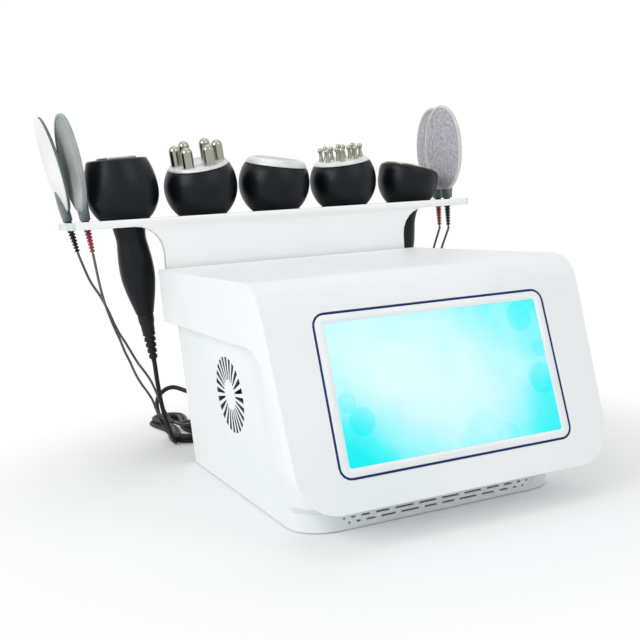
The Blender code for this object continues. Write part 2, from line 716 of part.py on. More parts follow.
def loft(name, rings, mat=None, cutter=False):
    """A closed solid through level rings that all have the same number of points."""
    count = len(rings[0])
    points = [p for ring in rings for p in ring]
    faces = [tuple(reversed(range(count))), tuple(range(len(points) - count, len(points)))]
    for k in range(len(rings) - 1):
        for i in range(count):
            j = (i + 1) % count
            faces.append((k * count + i, k * count + j, (k + 1) * count + j, (k + 1) * count + i))
    mesh = bpy.data.meshes.new(name)
    mesh.from_pydata(points, [], faces)
    shape = bmesh.new()
    shape.from_mesh(mesh)
    bmesh.ops.recalc_face_normals(shape, faces=shape.faces)
    shape.to_mesh(mesh)
    shape.free()
    return link(bpy.data.objects.new(name, mesh), mat, cutter=cutter)


def levels(low, high, extra=()):
    """Heights of the loft's rings: close together where the recess turns into the chin."""
    chin = [RECESS_HEIGHT + (CHIN_HEIGHT - RECESS_HEIGHT) * s for s in (0, 0.4, 0.75, 1)]
    flare = [CHIN_HEIGHT + (FLARE_TOP - CHIN_HEIGHT) * s for s in (0.12, 0.4, 0.75, 1)]
    return [low, *extra, *chin, *flare, BAND_BOTTOM, high]


def make_base():
    top = BAND_BOTTOM + GAP + LEDGE_THICK
    base = loft("base_shell", [base_ring(z) for z in levels(BASE_BOTTOM, top)], WHITE)
    half = hood_half(BAND_BOTTOM, HOOD_WALL + GAP)
    ledge = box("ledge", (-half, -LEDGE_DEPTH, BAND_BOTTOM + GAP), (half, -BACK_PANEL_THICK - GAP, top), cutter=True)
    base = combine(base, ledge, "UNION")
    hollow = [base_ring(z, BASE_WALL, OVERRUN, BASE_WALL if z > RECESS_HEIGHT else 0)
              for z in levels(BASE_BOTTOM - OVERRUN, top + OVERRUN)]
    base = combine(base, loft("base_inside", hollow, cutter=True))
    wide = box("panel_notch", (-half, -BACK_PANEL_THICK - GAP, BAND_BOTTOM - GAP), (half, OVERRUN, top + OVERRUN),
               cutter=True)
    base = combine(base, wide)
    flank = prism("hood_clearance", hood_side_clearance(), HOOD_WIDTH + 2 * OVERRUN, cutter=True, turn=STAND_ALONG_X)
    within = prism("hood_within", hood_front(HOOD_WALL + GAP), 4 * (TOP_DEPTH + FRONT_RUN), cutter=True,
                   turn=STAND_ALONG_Y)
    base = combine(base, combine(flank, within))
    opening = box("display_opening", (-OUTLINE_WIDTH / 2 - GAP, panel_y(CHIN_HEIGHT) - OVERRUN, CHIN_HEIGHT + PANEL_FLANGE * 2),
                  (OUTLINE_WIDTH / 2 + GAP, -BASE_FRONT + OVERRUN, top + OVERRUN), cutter=True)
    base = combine(base, opening)
    base = combine(base, vent_cutters())
    base = combine(base, grille_cutters())
    return smooth(base)


def hood_side_clearance():
    """The flank of the hood grown by the gap, as the lower housing has to clear it."""
    behind = PANEL_FLANGE + GAP
    low = CHIN_HEIGHT - OVERRUN
    line = BAND_BOTTOM - GAP
    corner = (panel_y(line, behind), line)
    seam = fillet((panel_y(low, behind), low), corner, (0, line), SEAM_RADIUS - GAP, 9)
    front = panel_y(low) - OVERRUN
    high = BAND_BOTTOM + 2 * OVERRUN
    return [(OVERRUN, high), (front, high), (front, low), (panel_y(low, behind), low), *seam, (OVERRUN, line)]


def vent_cutters():
    slots = []
    for row, half in ((0, VENTS_LOW_ROW), (1, VENTS_HIGH_ROW)):
        lengths = half + half[::-1]
        x = -(sum(lengths) + VENT_SPACE * (len(lengths) - 1)) / 2
        z = VENT_LOW + row * VENT_RISE
        for length in lengths:
            slot = [(x, z), (x + length, z), (x + length, z + VENT_HEIGHT), (x, z + VENT_HEIGHT)]
            slots.append(prism("vent", slot, 2 * OVERRUN, cutter=True, turn=STAND_ALONG_Y,
                               place=(0, -BASE_FRONT, 0)))
            x += length + VENT_SPACE
    return joined("vents", slots)


# The fan leans with the wall that it is fixed to
WALL_LEAN = math.atan2(BASE_HALF_TOP - BASE_HALF, BAND_BOTTOM)
fan_wall = Vector((-base_half(FAN_HEIGHT) + BASE_WALL / math.cos(WALL_LEAN), -FAN_BACK, FAN_HEIGHT))
fan_axis = empty("fan_axis", fan_wall, (0, -math.pi / 2 - WALL_LEAN, 0))


def grille_cutters():
    slots = []
    for k in range(GRILLE_SLOTS):
        a = 2 * math.pi * k / GRILLE_SLOTS
        along, across = Vector((math.cos(a), math.sin(a))), Vector((-math.sin(a), math.cos(a)))
        corners = [along * GRILLE_IN - across * GRILLE_SLOT_IN / 2, along * GRILLE_OUT - across * GRILLE_SLOT_OUT / 2,
                   along * GRILLE_OUT + across * GRILLE_SLOT_OUT / 2, along * GRILLE_IN + across * GRILLE_SLOT_IN / 2]
        slots.append(prism("slot", [tuple(c) for c in corners], 4 * BASE_WALL, cutter=True, parent=fan_axis))
    return joined("grille_slots", slots)


def make_fan():
    """A square axial fan against the wall, with its rotor on a fixed post. Z points out of the machine."""
    low, high = -GAP - FAN_DEPTH, -GAP
    hole = circle(FAN_DUCT, 24)
    frame = prism("fan_frame", rounded(FAN_SIZE, FAN_SIZE, FAN_CORNER, 2), FAN_DEPTH, DARK, fan_axis, holes=[hole],
                  place=(0, 0, (low + high) / 2))
    reach, half = FAN_DUCT + GAP, FAN_HUB * FAN_ARM_SHARE / 2
    arms = [box("arm", (-x, -y, low), (x, y, low + FAN_BACK_PLATE), parent=fan_axis, cutter=True)
            for x, y in ((reach, half), (half, reach))]
    for arm in arms:
        frame = combine(frame, arm, "UNION")
    post_top = high - 2 * FAN_BACK_PLATE
    post = turned("post", [(0, post_top), (FAN_POST, post_top), (FAN_POST, low + FAN_BACK_PLATE),
                           (FAN_HUB, low + FAN_BACK_PLATE), (FAN_HUB, low), (0, low)],
                  parent=fan_axis, sides=16, cutter=True)
    smooth(combine(frame, post, "UNION"))
    bottom = low + FAN_BACK_PLATE + 2 * GAP
    top = high - FAN_BACK_PLATE
    bore_top = post_top + 2 * GAP
    rotor = turned("fan_rotor", [(0, top), (FAN_HUB - FAN_HUB_EDGE, top), (FAN_HUB, top - FAN_HUB_EDGE), (FAN_HUB, bottom),
                                 (FAN_POST + GAP, bottom), (FAN_POST + GAP, bore_top), (0, bore_top)],
                   BLACK, fan_axis, sides=16)
    chord = (top - bottom) * FAN_CHORD_SHARE
    for k in range(FAN_BLADES):
        blade = box("blade", (FAN_HUB - FAN_BLADE_ROOT, -chord, -FAN_BLADE_THICK / 2),
                    (FAN_DUCT - FAN_TIP_GAP, chord, FAN_BLADE_THICK / 2), parent=fan_axis, cutter=True)
        blade.location = (0, 0, (top + bottom) / 2)
        blade.rotation_euler = (Matrix.Rotation(2 * math.pi * k / FAN_BLADES, 3, "Z")
                                @ Matrix.Rotation(math.radians(FAN_BLADE_PITCH), 3, "X")).to_euler()
        rotor = combine(rotor, blade, "UNION")
    smooth(rotor)


def make_bottom():
    """Steel bottom plate and the rubber feet under it."""
    back = -BACK_PANEL_THICK - GAP
    outline = [(x, y) for x, y, z in base_ring(PLATE_BOTTOM, BASE_WALL + GAP, back)]
    prism("base_plate", outline, PLATE_THICK, STEEL, place=(0, 0, PLATE_BOTTOM + PLATE_THICK / 2))
    half = base_half(PLATE_BOTTOM) - BASE_WALL
    front = -BASE_FRONT + BASE_WALL
    profile = [(0, PLATE_BOTTOM - GAP), (FOOT_RADIUS, PLATE_BOTTOM - GAP), (FOOT_RADIUS * FOOT_TAPER_SHARE, 0), (0, 0)]
    for side, x in (("left", -half + FOOT_INSET), ("right", half - FOOT_INSET)):
        for end, y in (("rear", back - FOOT_INSET), ("front", front + FOOT_INSET)):
            smooth(turned(f"foot_{end}_{side}", profile, BLACK_RUBBER, sides=16, place=(x, y, 0)))


def make_back():
    """The upright steel panel behind, with every hole that the sockets, the inlet and the screws need."""
    low_half = base_half(BACK_PANEL_BOTTOM) - BASE_WALL - GAP
    mid_half = base_half(BAND_BOTTOM) - BASE_WALL - GAP
    step_half = hood_half(BAND_BOTTOM, HOOD_WALL + GAP)
    top = HOOD_HEIGHT - HOOD_WALL - GAP
    top_half = hood_half(top, HOOD_WALL + GAP) - HOOD_EDGE
    outline = [(-low_half, BACK_PANEL_BOTTOM), (low_half, BACK_PANEL_BOTTOM), (mid_half, BAND_BOTTOM),
               (step_half, BAND_BOTTOM), (top_half, top), (-top_half, top), (-step_half, BAND_BOTTOM),
               (-mid_half, BAND_BOTTOM)]
    holes = [circle(SOCKET_RADIUS + GAP, 12, (x, SOCKET_HEIGHT)) for x in socket_places()]
    holes += [circle(JACK_RADIUS + GAP, 10, (x, JACK_HEIGHT)) for x in JACK_PLACES]
    holes += [circle(BOLT_SHANK + GAP, 10, (x, BOLT_HEIGHT)) for x in (-BOLT_SIDE, BOLT_SIDE)]
    holes.append(rounded(INLET_WIDTH + 2 * GAP, INLET_TALL + 2 * GAP, INLET_CORNER, 2, (INLET_SIDE, INLET_HEIGHT)))
    smooth(prism("back_panel", outline, BACK_PANEL_THICK, WHITE, holes=holes, turn=STAND_ALONG_Y,
                 place=(0, -BACK_PANEL_THICK / 2, 0)))


def socket_places():
    return [SOCKET_FIRST + SOCKET_PITCH * k for k in range(SOCKET_COUNT)]


# Turned pieces on the back point along +Y
TURN_BACK = (-math.pi / 2, 0, 0)


def make_connector_board():
    """The board behind the panel with its five round handpiece sockets and the two pad sockets."""
    front = -BACK_PANEL_THICK - CONNECTOR_BOARD_BACK
    low = (SOCKET_FIRST - SOCKET_FLANGE, front - CONNECTOR_BOARD_THICK, SOCKET_HEIGHT - SOCKET_FLANGE)
    high = (socket_places()[-1] + SOCKET_FLANGE, front, JACK_HEIGHT + JACK_FLANGE)
    board = box("connector_board", low, high, CHROME)
    sockets = [turned("socket", [
        (SOCKET_BORE, SOCKET_REACH + GAP), (SOCKET_RADIUS, SOCKET_REACH + GAP), (SOCKET_RADIUS, GAP + SOCKET_NUT),
        (SOCKET_FLANGE, GAP + SOCKET_NUT), (SOCKET_FLANGE, GAP), (SOCKET_RADIUS, GAP), (SOCKET_RADIUS, front - GAP),
        (0, front - GAP), (0, SOCKET_FLOOR), (SOCKET_BORE, SOCKET_FLOOR), (SOCKET_BORE, SOCKET_REACH + GAP)],
        sides=12, place=(x, 0, SOCKET_HEIGHT), turn=TURN_BACK, cutter=True) for x in socket_places()]
    sockets += [turned("jack", [
        (JACK_BORE, JACK_REACH + GAP), (JACK_FLANGE, JACK_REACH + GAP), (JACK_FLANGE, GAP), (JACK_RADIUS, GAP),
        (JACK_RADIUS, front - GAP), (0, front - GAP), (0, 0), (JACK_BORE, 0), (JACK_BORE, JACK_REACH + GAP)],
        sides=10, place=(x, 0, JACK_HEIGHT), turn=TURN_BACK, cutter=True) for x in JACK_PLACES]
    smooth(combine(board, joined("sockets", sockets), "UNION"))


# The inlet's frame: Z points out of the back, X to the machine's left as seen from behind
inlet_frame = empty("inlet_frame", (INLET_SIDE, 0, INLET_HEIGHT), (math.pi / 2, 0, math.pi))
rocker_axis = empty("rocker_axis", (0, INLET_TALL / 2 - ROCKER_TALL, INLET_FLANGE_THICK), (0, 0, 0), inlet_frame)


def make_inlet():
    """Mains inlet with the power rocker above it in one flange."""
    flange = rounded(INLET_WIDTH + 2 * INLET_FLANGE, INLET_TALL + 2 * INLET_FLANGE, INLET_FLANGE_CORNER, 2)
    inlet = prism("mains_inlet", flange, INLET_FLANGE_THICK, BLACK, inlet_frame,
                  place=(0, 0, GAP + INLET_FLANGE_THICK / 2))
    body = prism("inlet_body", rounded(INLET_WIDTH, INLET_TALL, INLET_CORNER, 2), INLET_BODY + INLET_FLANGE_THICK,
                 parent=inlet_frame, cutter=True, place=(0, 0, (INLET_FLANGE_THICK - INLET_BODY) / 2))
    inlet = combine(inlet, body, "UNION")
    low = -INLET_TALL / 2 + INLET_FLANGE / 2
    wide, crown = INLET_MOUTH_WIDE / 2, INLET_MOUTH_WIDE / 2 * INLET_CROWN_SHARE
    shoulder, high = low + INLET_MOUTH * INLET_SHOULDER_SHARE, low + INLET_MOUTH
    mouth = [(-wide, low), (wide, low), (wide, shoulder), (crown, high), (-crown, high), (-wide, shoulder)]
    inlet = combine(inlet, prism("mouth", mouth, 2 * INLET_MOUTH_DEEP, cutter=True, parent=inlet_frame))
    for k, share in zip((-1, 0, 1), INLET_PIN_SHARES):
        x, y = k * INLET_PIN_SPACE, low + INLET_MOUTH * share
        pin = box("pin", (x - INLET_PIN / 2, y - INLET_PIN, -INLET_MOUTH_DEEP - INLET_PIN),
                  (x + INLET_PIN / 2, y + INLET_PIN, -INLET_PIN), parent=inlet_frame, cutter=True)
        inlet = combine(inlet, pin, "UNION")
    pocket = box("pocket", (-ROCKER_WIDE / 2 - GAP, -ROCKER_TALL / 2 - GAP, -ROCKER_POCKET),
                 (ROCKER_WIDE / 2 + GAP, ROCKER_TALL / 2 + GAP, OVERRUN), parent=rocker_axis, cutter=True)
    combine(inlet, pocket)
    horn = (ROCKER_TALL / 2 * ROCKER_HORN_WIDE_SHARE, ROCKER_TALL * ROCKER_HORN_SHARE)
    outline = [*arc((0, 0), ROCKER_TALL / 2, 180, 360, 8), horn, (0, ROCKER_TALL * ROCKER_NOTCH_SHARE), (-horn[0], horn[1])]
    smooth(prism("power_rocker", outline, ROCKER_WIDE - GAP, BLACK, rocker_axis, turn=STAND_ALONG_X))


def make_electronics():
    """Power supply and circuit boards on the bottom plate."""
    floor = PLATE_BOTTOM + PLATE_THICK + GAP
    left, back = SUPPLY_LEFT, -SUPPLY_BACK
    supply = box("power_supply", (left, back - SUPPLY_DEEP, floor), (left + SUPPLY_WIDE, back, floor + SUPPLY_TALL), STEEL)
    rim = box("supply_rim", (left - SUPPLY_RIM, back - SUPPLY_DEEP - SUPPLY_RIM, floor + SUPPLY_RIM_HEIGHT),
              (left + SUPPLY_WIDE + SUPPLY_RIM, back + SUPPLY_RIM, floor + SUPPLY_RIM_HEIGHT + SUPPLY_RIM / 2), cutter=True)
    combine(supply, rim, "UNION")
    low = floor + BOARD_RISE
    for name, (x0, x1, deep, chip_tall) in BOARDS.items():
        y0 = -BOARD_FRONT
        y1 = y0 + deep
        board = box(name, (x0, y0, low), (x1, y1, low + BOARD_THICK), BOARD)
        post = BOARD_POST / 2
        for x in (x0 + BOARD_POST, x1 - BOARD_POST):
            for y in (y0 + BOARD_POST, y1 - BOARD_POST):
                board = combine(board, box("post", (x - post, y - post, floor), (x + post, y + post, low + BOARD_THICK / 2),
                                           cutter=True), "UNION")
        x, y = (x0 + x1) / 2, (y0 + y1) / 2
        combine(board, box("chip", (x - CHIP_WIDE / 2, y - CHIP_DEEP / 2, low + BOARD_THICK / 2),
                           (x + CHIP_WIDE / 2, y + CHIP_DEEP / 2, low + chip_tall), cutter=True), "UNION")


# Holder

SHELF_FRONT = STANDOFF + GAP
HOLES = [(-2 * HOLE_PITCH, HOLE_BACK), (-HOLE_PITCH, HOLE_BACK), (0, HOLE_BACK), (HOLE_PITCH, HOLE_BACK),
         (2 * HOLE_PITCH, HOLE_BACK)]

# Each pad's place on the shelf, how far it leans to the right, how far it is turned, and its boot's colour
PADS = {"pad_left_rear": (PAD_LEFT_REAR_INSET - SHELF_WIDTH / 2, PAD_REAR, -12.5, 184, BLACK_RUBBER),
        "pad_left_front": (PAD_LEFT_FRONT_INSET - SHELF_WIDTH / 2, PAD_FRONT, -8, 8, RED),
        "pad_right_front": (SHELF_WIDTH / 2 - PAD_RIGHT_FRONT_INSET, PAD_FRONT, -0.7, 14, BLACK_RUBBER),
        "pad_right_rear": (SHELF_WIDTH / 2 - PAD_RIGHT_REAR_INSET, PAD_REAR, -0.7, 14, RED)}


def make_holder():
    holes = [circle(HOLE_RADIUS, HOLE_SIDES, p) for p in HOLES]
    for x, y, lean, spin, colour in PADS.values():
        holes.append(circle(PAD_HOLE_RADIUS, 12, (x - math.tan(math.radians(lean)) * SHEET / 2, y)))
    outline = rounded(SHELF_WIDTH, SHELF_DEPTH, SHELF_CORNER, 4, (0, SHELF_FRONT + SHELF_DEPTH / 2))
    top = SHELF_TOP - SHEET / 2
    shelf = prism("holder", outline, SHEET, ACRYLIC, holes=holes, place=(0, 0, top))
    under = SHELF_TOP - SHEET
    half = TONGUE_WIDTH / 2
    corner = SHELF_CORNER
    right = [*arc((half - corner, TONGUE_BOTTOM + corner), corner, 270, 360, 3),
             *reversed(arc((half + TONGUE_FILLET, under - TONGUE_FILLET), TONGUE_FILLET, 90, 180, 6)),
             (half + TONGUE_FILLET, top)]
    outline = right + [(-x, z) for x, z in reversed(right)]
    bolt_holes = [circle(BOLT_SHANK + GAP, 10, (x, BOLT_HEIGHT)) for x in (-BOLT_SIDE, BOLT_SIDE)]
    tongue = prism("tongue", outline, SHEET, cutter=True, holes=bolt_holes, turn=STAND_ALONG_Y,
                   place=(0, SHELF_FRONT + SHEET / 2, 0))
    smooth(combine(shelf, tongue, "UNION"))
    far = SHELF_FRONT + SHEET + GAP
    profile = [(0, far + BOLT_CAP), (BOLT_HEAD - BOLT_EDGE, far + BOLT_CAP), (BOLT_HEAD, far + BOLT_CAP - BOLT_EDGE),
               (BOLT_HEAD, far), (BOLT_SHANK, far), (BOLT_SHANK, SHELF_FRONT - GAP), (BOLT_HEAD, SHELF_FRONT - GAP),
               (BOLT_HEAD, GAP), (BOLT_SHANK, GAP), (BOLT_SHANK, -BOLT_LENGTH), (0, -BOLT_LENGTH)]
    for side, x in (("left", -BOLT_SIDE), ("right", BOLT_SIDE)):
        smooth(turned("holder_bolt_" + side, profile, STEEL, sides=12, place=(x, 0, BOLT_HEIGHT), turn=TURN_BACK))


# Handpieces

def ball_rise(radius):
    """How far a ball's middle lies above the shelf when it rests on the rim of its hole."""
    return math.sqrt((radius + GAP) ** 2 - HOLE_RADIUS ** 2)


def head_profile(radius, top, stretch, handle):
    """Outer line of a handpiece from its face down the ball and the handle. Height zero is the ball's middle."""
    upper = radius * stretch
    angle = math.asin(min(top / upper, 1))
    points = []
    for i in range(5):
        a = angle * (1 - i / 4)
        points.append((radius * math.cos(a), upper * math.sin(a)))
    end = math.acos(NECK_RADIUS / radius)
    for i in range(1, 5):
        a = end * i / 4
        points.append((radius * math.cos(a), -radius * math.sin(a)))
    shelf = -ball_rise(radius)
    points += [(handle * r, shelf - HANDLE_LENGTH * d) for r, d in HANDLE_SHARES]
    return [(0, top), *points, (0, points[-1][1])]


def gland_profile(radius):
    """Ribbed sleeve at the handle's end."""
    start = -ball_rise(radius) - HANDLE_LENGTH - GAP
    points = [(0, start)] + [(GLAND_RADIUS * r, start - GLAND_LENGTH * d) for r, d in GLAND_SHARES]
    z = points[-1][1]
    for k in range(GLAND_RIBS):
        r = GLAND_RIB_RADIUS + (GLAND_TIP_RADIUS - GLAND_RIB_RADIUS) * k / (GLAND_RIBS - 1)
        points += [(r, z - GLAND_RIB_LENGTH), (r - GLAND_GROOVE, z - GLAND_RIB_PITCH)]
        z -= GLAND_RIB_PITCH
    return points + [(0, z)], z


def handpiece(name, index, radius, lean_right, lean_front):
    """The empty on a handpiece's axis, at the middle of its ball."""
    x, y = HOLES[index]
    return empty(name, (x, y, SHELF_TOP + ball_rise(radius)),
                 (math.radians(lean_front), math.radians(lean_right), 0))


def make_head(name, axis, radius, top, stretch, slant=0.0, handle=HANDLE_RADIUS):
    """The shell, its face cut at a slant in degrees by leaning the upper half, and the sleeve below it."""
    shell = turned(name + "_shell", head_profile(radius, top, stretch, handle), BLACK, axis, HEAD_SIDES)
    for corner in shell.data.vertices:
        corner.co.z -= corner.co.x * math.tan(math.radians(slant)) * max(corner.co.z, 0) / top
    smooth(shell)
    profile, end = gland_profile(radius)
    smooth(turned(name + "_gland", profile, BLACK_RUBBER, axis, 10), 50)
    return end


def disc(name, axis, mat, radius, low, thickness, edge, sides=HEAD_SIDES, dome=0.0, slant=0.0):
    """A round plate with a chamfered rim, its underside the gap above the face it lies on."""
    axis = empty(name + "_seat", (0, 0, low), (0, math.radians(slant), 0), axis)
    low = GAP
    high = low + thickness
    profile = [(0, high + dome), (radius - edge, high), (radius, high - edge), (radius, low), (0, low)]
    return smooth(turned(name, profile, mat, axis, sides), 40)


def ring(name, axis, mat, outer, inner, low, thickness, edge, sides=HEAD_SIDES, slant=0.0):
    """A flat ring with a chamfered rim, seated like a disc."""
    axis = empty(name + "_seat", (0, 0, low), (0, math.radians(slant), 0), axis)
    low = GAP
    high = low + thickness
    profile = [(inner, high), (outer - edge, high), (outer, high - edge), (outer, low), (inner, low), (inner, high)]
    return smooth(turned(name, profile, mat, axis, sides), 40)


def make_handpieces():
    axes = {}
    axis = axes["cavitation"] = handpiece("cavitation_axis", 0, CAVITATION["radius"], *CAVITATION_LEAN)
    gland_end = make_head("cavitation", axis, **CAVITATION)
    top = CAVITATION["top"]
    disc("cavitation_face", axis, CHROME, CAVITATION_FACE, top, CAVITATION_FACE_THICK, PLATE_EDGE,
         slant=CAVITATION["slant"])

    axis = axes["six_pole"] = handpiece("six_pole_axis", 1, SIX_POLE["radius"], *SIX_POLE_LEAN)
    make_head("six_pole", axis, **SIX_POLE)
    top = SIX_POLE["top"]
    rim = math.sqrt(SIX_POLE["radius"] ** 2 - top ** 2)
    plate = POLE_PLATE
    base = disc("six_pole_electrodes", axis, CHROME, rim - PLATE_EDGE, top, plate, 2 * PLATE_EDGE)
    poles = []
    for k in range(POLES):
        a = POLE_START + k * 2 * math.pi / POLES
        low = top + plate / 2
        shoulder = top + plate + POLE_HEIGHT - POLE_RADIUS
        profile = [(0, shoulder + POLE_RADIUS)]
        profile += [(POLE_RADIUS * math.sin(t), shoulder + POLE_RADIUS * math.cos(t))
                    for t in (math.radians(30), math.radians(60), math.radians(90))]
        profile += [(POLE_RADIUS, low), (0, low)]
        poles.append(turned("pole", profile, None, axis, 10, True,
                            place=(POLE_RING * math.cos(a), POLE_RING * math.sin(a), 0)))
    smooth(combine(base, joined("poles", poles), "UNION"))

    axis = axes["flat_head"] = handpiece("flat_head_axis", 2, FLAT_HEAD["radius"], *FLAT_HEAD_LEAN)
    make_head("flat_head", axis, **FLAT_HEAD)
    top = FLAT_HEAD["top"]
    rim = math.sqrt(FLAT_HEAD["radius"] ** 2 - top ** 2)
    ring("flat_head_rim", axis, PALE, rim - PLATE_EDGE, FLAT_PLATE, top, FLAT_PLATE_THICK, FLAT_RIM_EDGE)
    disc("flat_head_plate", axis, STEEL, FLAT_PLATE - GAP, top, FLAT_PLATE_THICK, PLATE_EDGE, dome=FLAT_PLATE_DOME)

    axis = axes["ball_pin"] = handpiece("ball_pin_axis", 3, BALL_PIN["radius"], *BALL_PIN_LEAN)
    make_head("ball_pin", axis, **BALL_PIN)
    top = BALL_PIN["top"]
    rim = math.sqrt(BALL_PIN["radius"] ** 2 - top ** 2)
    plate = SMALL_PIN_PLATE
    base = disc("ball_pin_electrodes", axis, PALE, rim - PLATE_EDGE, top, plate, SMALL_PIN_PLATE_EDGE)
    pins = []
    for count, reach in ((OUTER_PINS, OUTER_PIN_RING), (INNER_PINS, INNER_PIN_RING)):
        for k in range(count):
            a = 2 * math.pi * (k + 0.5) / count
            low = top + plate / 2
            middle = top + plate + SMALL_PIN_HEIGHT - SMALL_BALL_RADIUS
            profile = [(0, middle + SMALL_BALL_RADIUS)]
            profile += [(SMALL_BALL_RADIUS * math.sin(t), middle + SMALL_BALL_RADIUS * math.cos(t))
                        for t in (math.radians(50), math.radians(100))]
            profile += [(SMALL_PIN_RADIUS, middle - SMALL_BALL_RADIUS * SMALL_BALL_NECK_SHARE), (SMALL_PIN_RADIUS, low), (0, low)]
            pins.append(turned("pin", profile, None, axis, 6, True,
                               place=(reach * math.cos(a), reach * math.sin(a), 0)))
    smooth(combine(base, joined("pins", pins), "UNION"), 50)

    axis = axes["bowl_head"] = handpiece("bowl_head_axis", 4, BOWL_HEAD["radius"], *BOWL_HEAD_LEAN)
    make_head("bowl_head", axis, **BOWL_HEAD)
    ring("bowl_head_ring", axis, CHROME, BOWL_RING_OUTER, BOWL_RING_INNER, BOWL_HEAD["top"], BOWL_RING_THICK,
         PLATE_EDGE / 2, slant=BOWL_HEAD["slant"])
    return axes, gland_end


# Pads: each frame's origin is on the shelf in the middle of the pad, Z runs up the pad and the face looks along -X

def pad_place():
    """Turns a dish that lies flat about Z into one that stands on its edge above the shelf."""
    return (Matrix.Translation((-PAD_THICK / 2, 0, PAD_LIFT_OFF + PAD_HEIGHT / 2))
            @ Matrix.Rotation(math.pi / 2, 4, "Y"))


def pad_solid(name, grow, mat, parent, recess, cutter=False):
    """The oval shell: a turned dish, squeezed to its oval and stood on its edge."""
    tall = PAD_HEIGHT / 2 + grow
    back = PAD_THICK + grow
    edge = PAD_EDGE + grow
    front = -grow
    profile = [(tall * out, edge + (back - edge) * rise) for out, rise in PAD_BACK_SHARES]
    profile += [(tall - PAD_ROUND, edge), (tall, edge - PAD_ROUND), (tall, front + PAD_ROUND),
                (tall - PAD_ROUND, front)]
    if recess:
        profile += [(tall - PAD_RIM, front), (tall - PAD_RIM, front + PAD_RECESS), (0, front + PAD_RECESS)]
    else:
        profile += [(0, front)]
    solid = turned(name, profile, mat, parent, PAD_SIDES, cutter)
    solid.data.transform(pad_place() @ Matrix.Diagonal((1, (PAD_WIDTH / 2 + grow) / tall, 1, 1)))
    return solid


def make_pad(name, x, y, lean, spin, boot):
    sign = 1 if abs(spin) < 90 else -1
    axis = empty(name + "_axis", (x, y, SHELF_TOP), (0, math.radians(sign * lean), math.radians(spin)))
    smooth(pad_solid(name + "_shell", 0.0, PAD_GREY, axis, True), 40)
    tall = PAD_HEIGHT / 2 - PAD_RIM - GAP
    low, high = PAD_RECESS - GAP - PAD_FACE_THICK, PAD_RECESS - GAP
    face = turned(name + "_face", [(0, high), (tall, high), (tall, low), (0, low)], FABRIC, axis, PAD_SIDES)
    wide = PAD_WIDTH / 2 - PAD_RIM - GAP
    face.data.transform(pad_place() @ Matrix.Diagonal((1, wide / tall, 1, 1)))
    smooth(face)
    half, low, tall = NECK_WIDE / 2, NECK_BOTTOM, NECK_TALL
    leaf = [(half * across, low + (tall - low) * up) for across, up in NECK_SHARES]
    leaf += [(-y, z) for y, z in reversed(leaf[:-1])]
    socket = prism(name + "_boot", leaf, NECK_THICK, boot, axis, turn=STAND_ALONG_X)
    socket = combine(socket, pad_solid("pad_clearance", GAP, None, axis, False, cutter=True))
    profile = [(0, NECK_BOTTOM + RELIEF_RADIUS), (RELIEF_RADIUS, NECK_BOTTOM + RELIEF_RADIUS),
               (RELIEF_RADIUS, -SHEET)]
    step = (RELIEF_LENGTH - SHEET) / RELIEF_RIBS
    z = -SHEET
    for k in range(RELIEF_RIBS):
        r = RELIEF_RADIUS + (RELIEF_TIP - RELIEF_RADIUS) * (k + 1) / RELIEF_RIBS
        profile += [(r, z - step * RELIEF_RIB_SHARE), (r - RELIEF_GROOVE, z - step)]
        z -= step
    profile.append((0, z))
    relief = turned("relief", profile, None, axis, 8, cutter=True)
    smooth(combine(socket, relief, "UNION"), 50)
    return axis


# Cords

def spline_points(route, spacing):
    """Points at even steps along a smooth curve through the route's own points."""
    route = [Vector(p) for p in route]
    ends = [route[0] * 2 - route[1]] + route + [route[-1] * 2 - route[-2]]
    fine = []
    for a, b, c, d in zip(ends, ends[1:], ends[2:], ends[3:]):
        for i in range(24):
            t = i / 24
            fine.append(0.5 * ((2 * b) + (c - a) * t + (2 * a - 5 * b + 4 * c - d) * t ** 2
                               + (3 * b - a - 3 * c + d) * t ** 3))
    fine.append(route[-1])
    lengths = [0.0]
    for a, b in zip(fine, fine[1:]):
        lengths.append(lengths[-1] + (b - a).length)
    count = max(round(lengths[-1] / spacing), 2)
    points, k = [], 0
    for i in range(count + 1):
        want = lengths[-1] * i / count
        while k < len(lengths) - 2 and lengths[k + 1] < want:
            k += 1
        span = lengths[k + 1] - lengths[k]
        points.append(fine[k].lerp(fine[k + 1], (want - lengths[k]) / span if span else 0))
    return points


def tube(name, points, diameter, mat, resolution=2):
    curve = bpy.data.curves.new(name, "CURVE")
    curve.dimensions = "3D"
    curve.bevel_depth = diameter / 2
    curve.bevel_resolution = resolution
    curve.use_fill_caps = True
    line = curve.splines.new("POLY")
    line.points.add(len(points) - 1)
    for point, place in zip(line.points, points):
        point.co = (*place, 1)
    return smooth(settle(link(bpy.data.objects.new(name, curve), mat)), 60)


def free_cord(name, diameter, step, start, start_way, route, end, end_way):
    """A cord between two faces: straight for one diameter off each, smooth through its route between them."""
    first, last = start + start_way * GAP, end + end_way * GAP
    near, far = first + start_way * diameter, last + end_way * diameter
    points = spline_points([near, *route, far], step)
    length = sum((b - a).length for a, b in zip(points, points[1:])) + 2 * diameter
    print(name, "is", round(length / MM), "mm long")
    return tube(name, [first, *points, last], diameter, CORD)


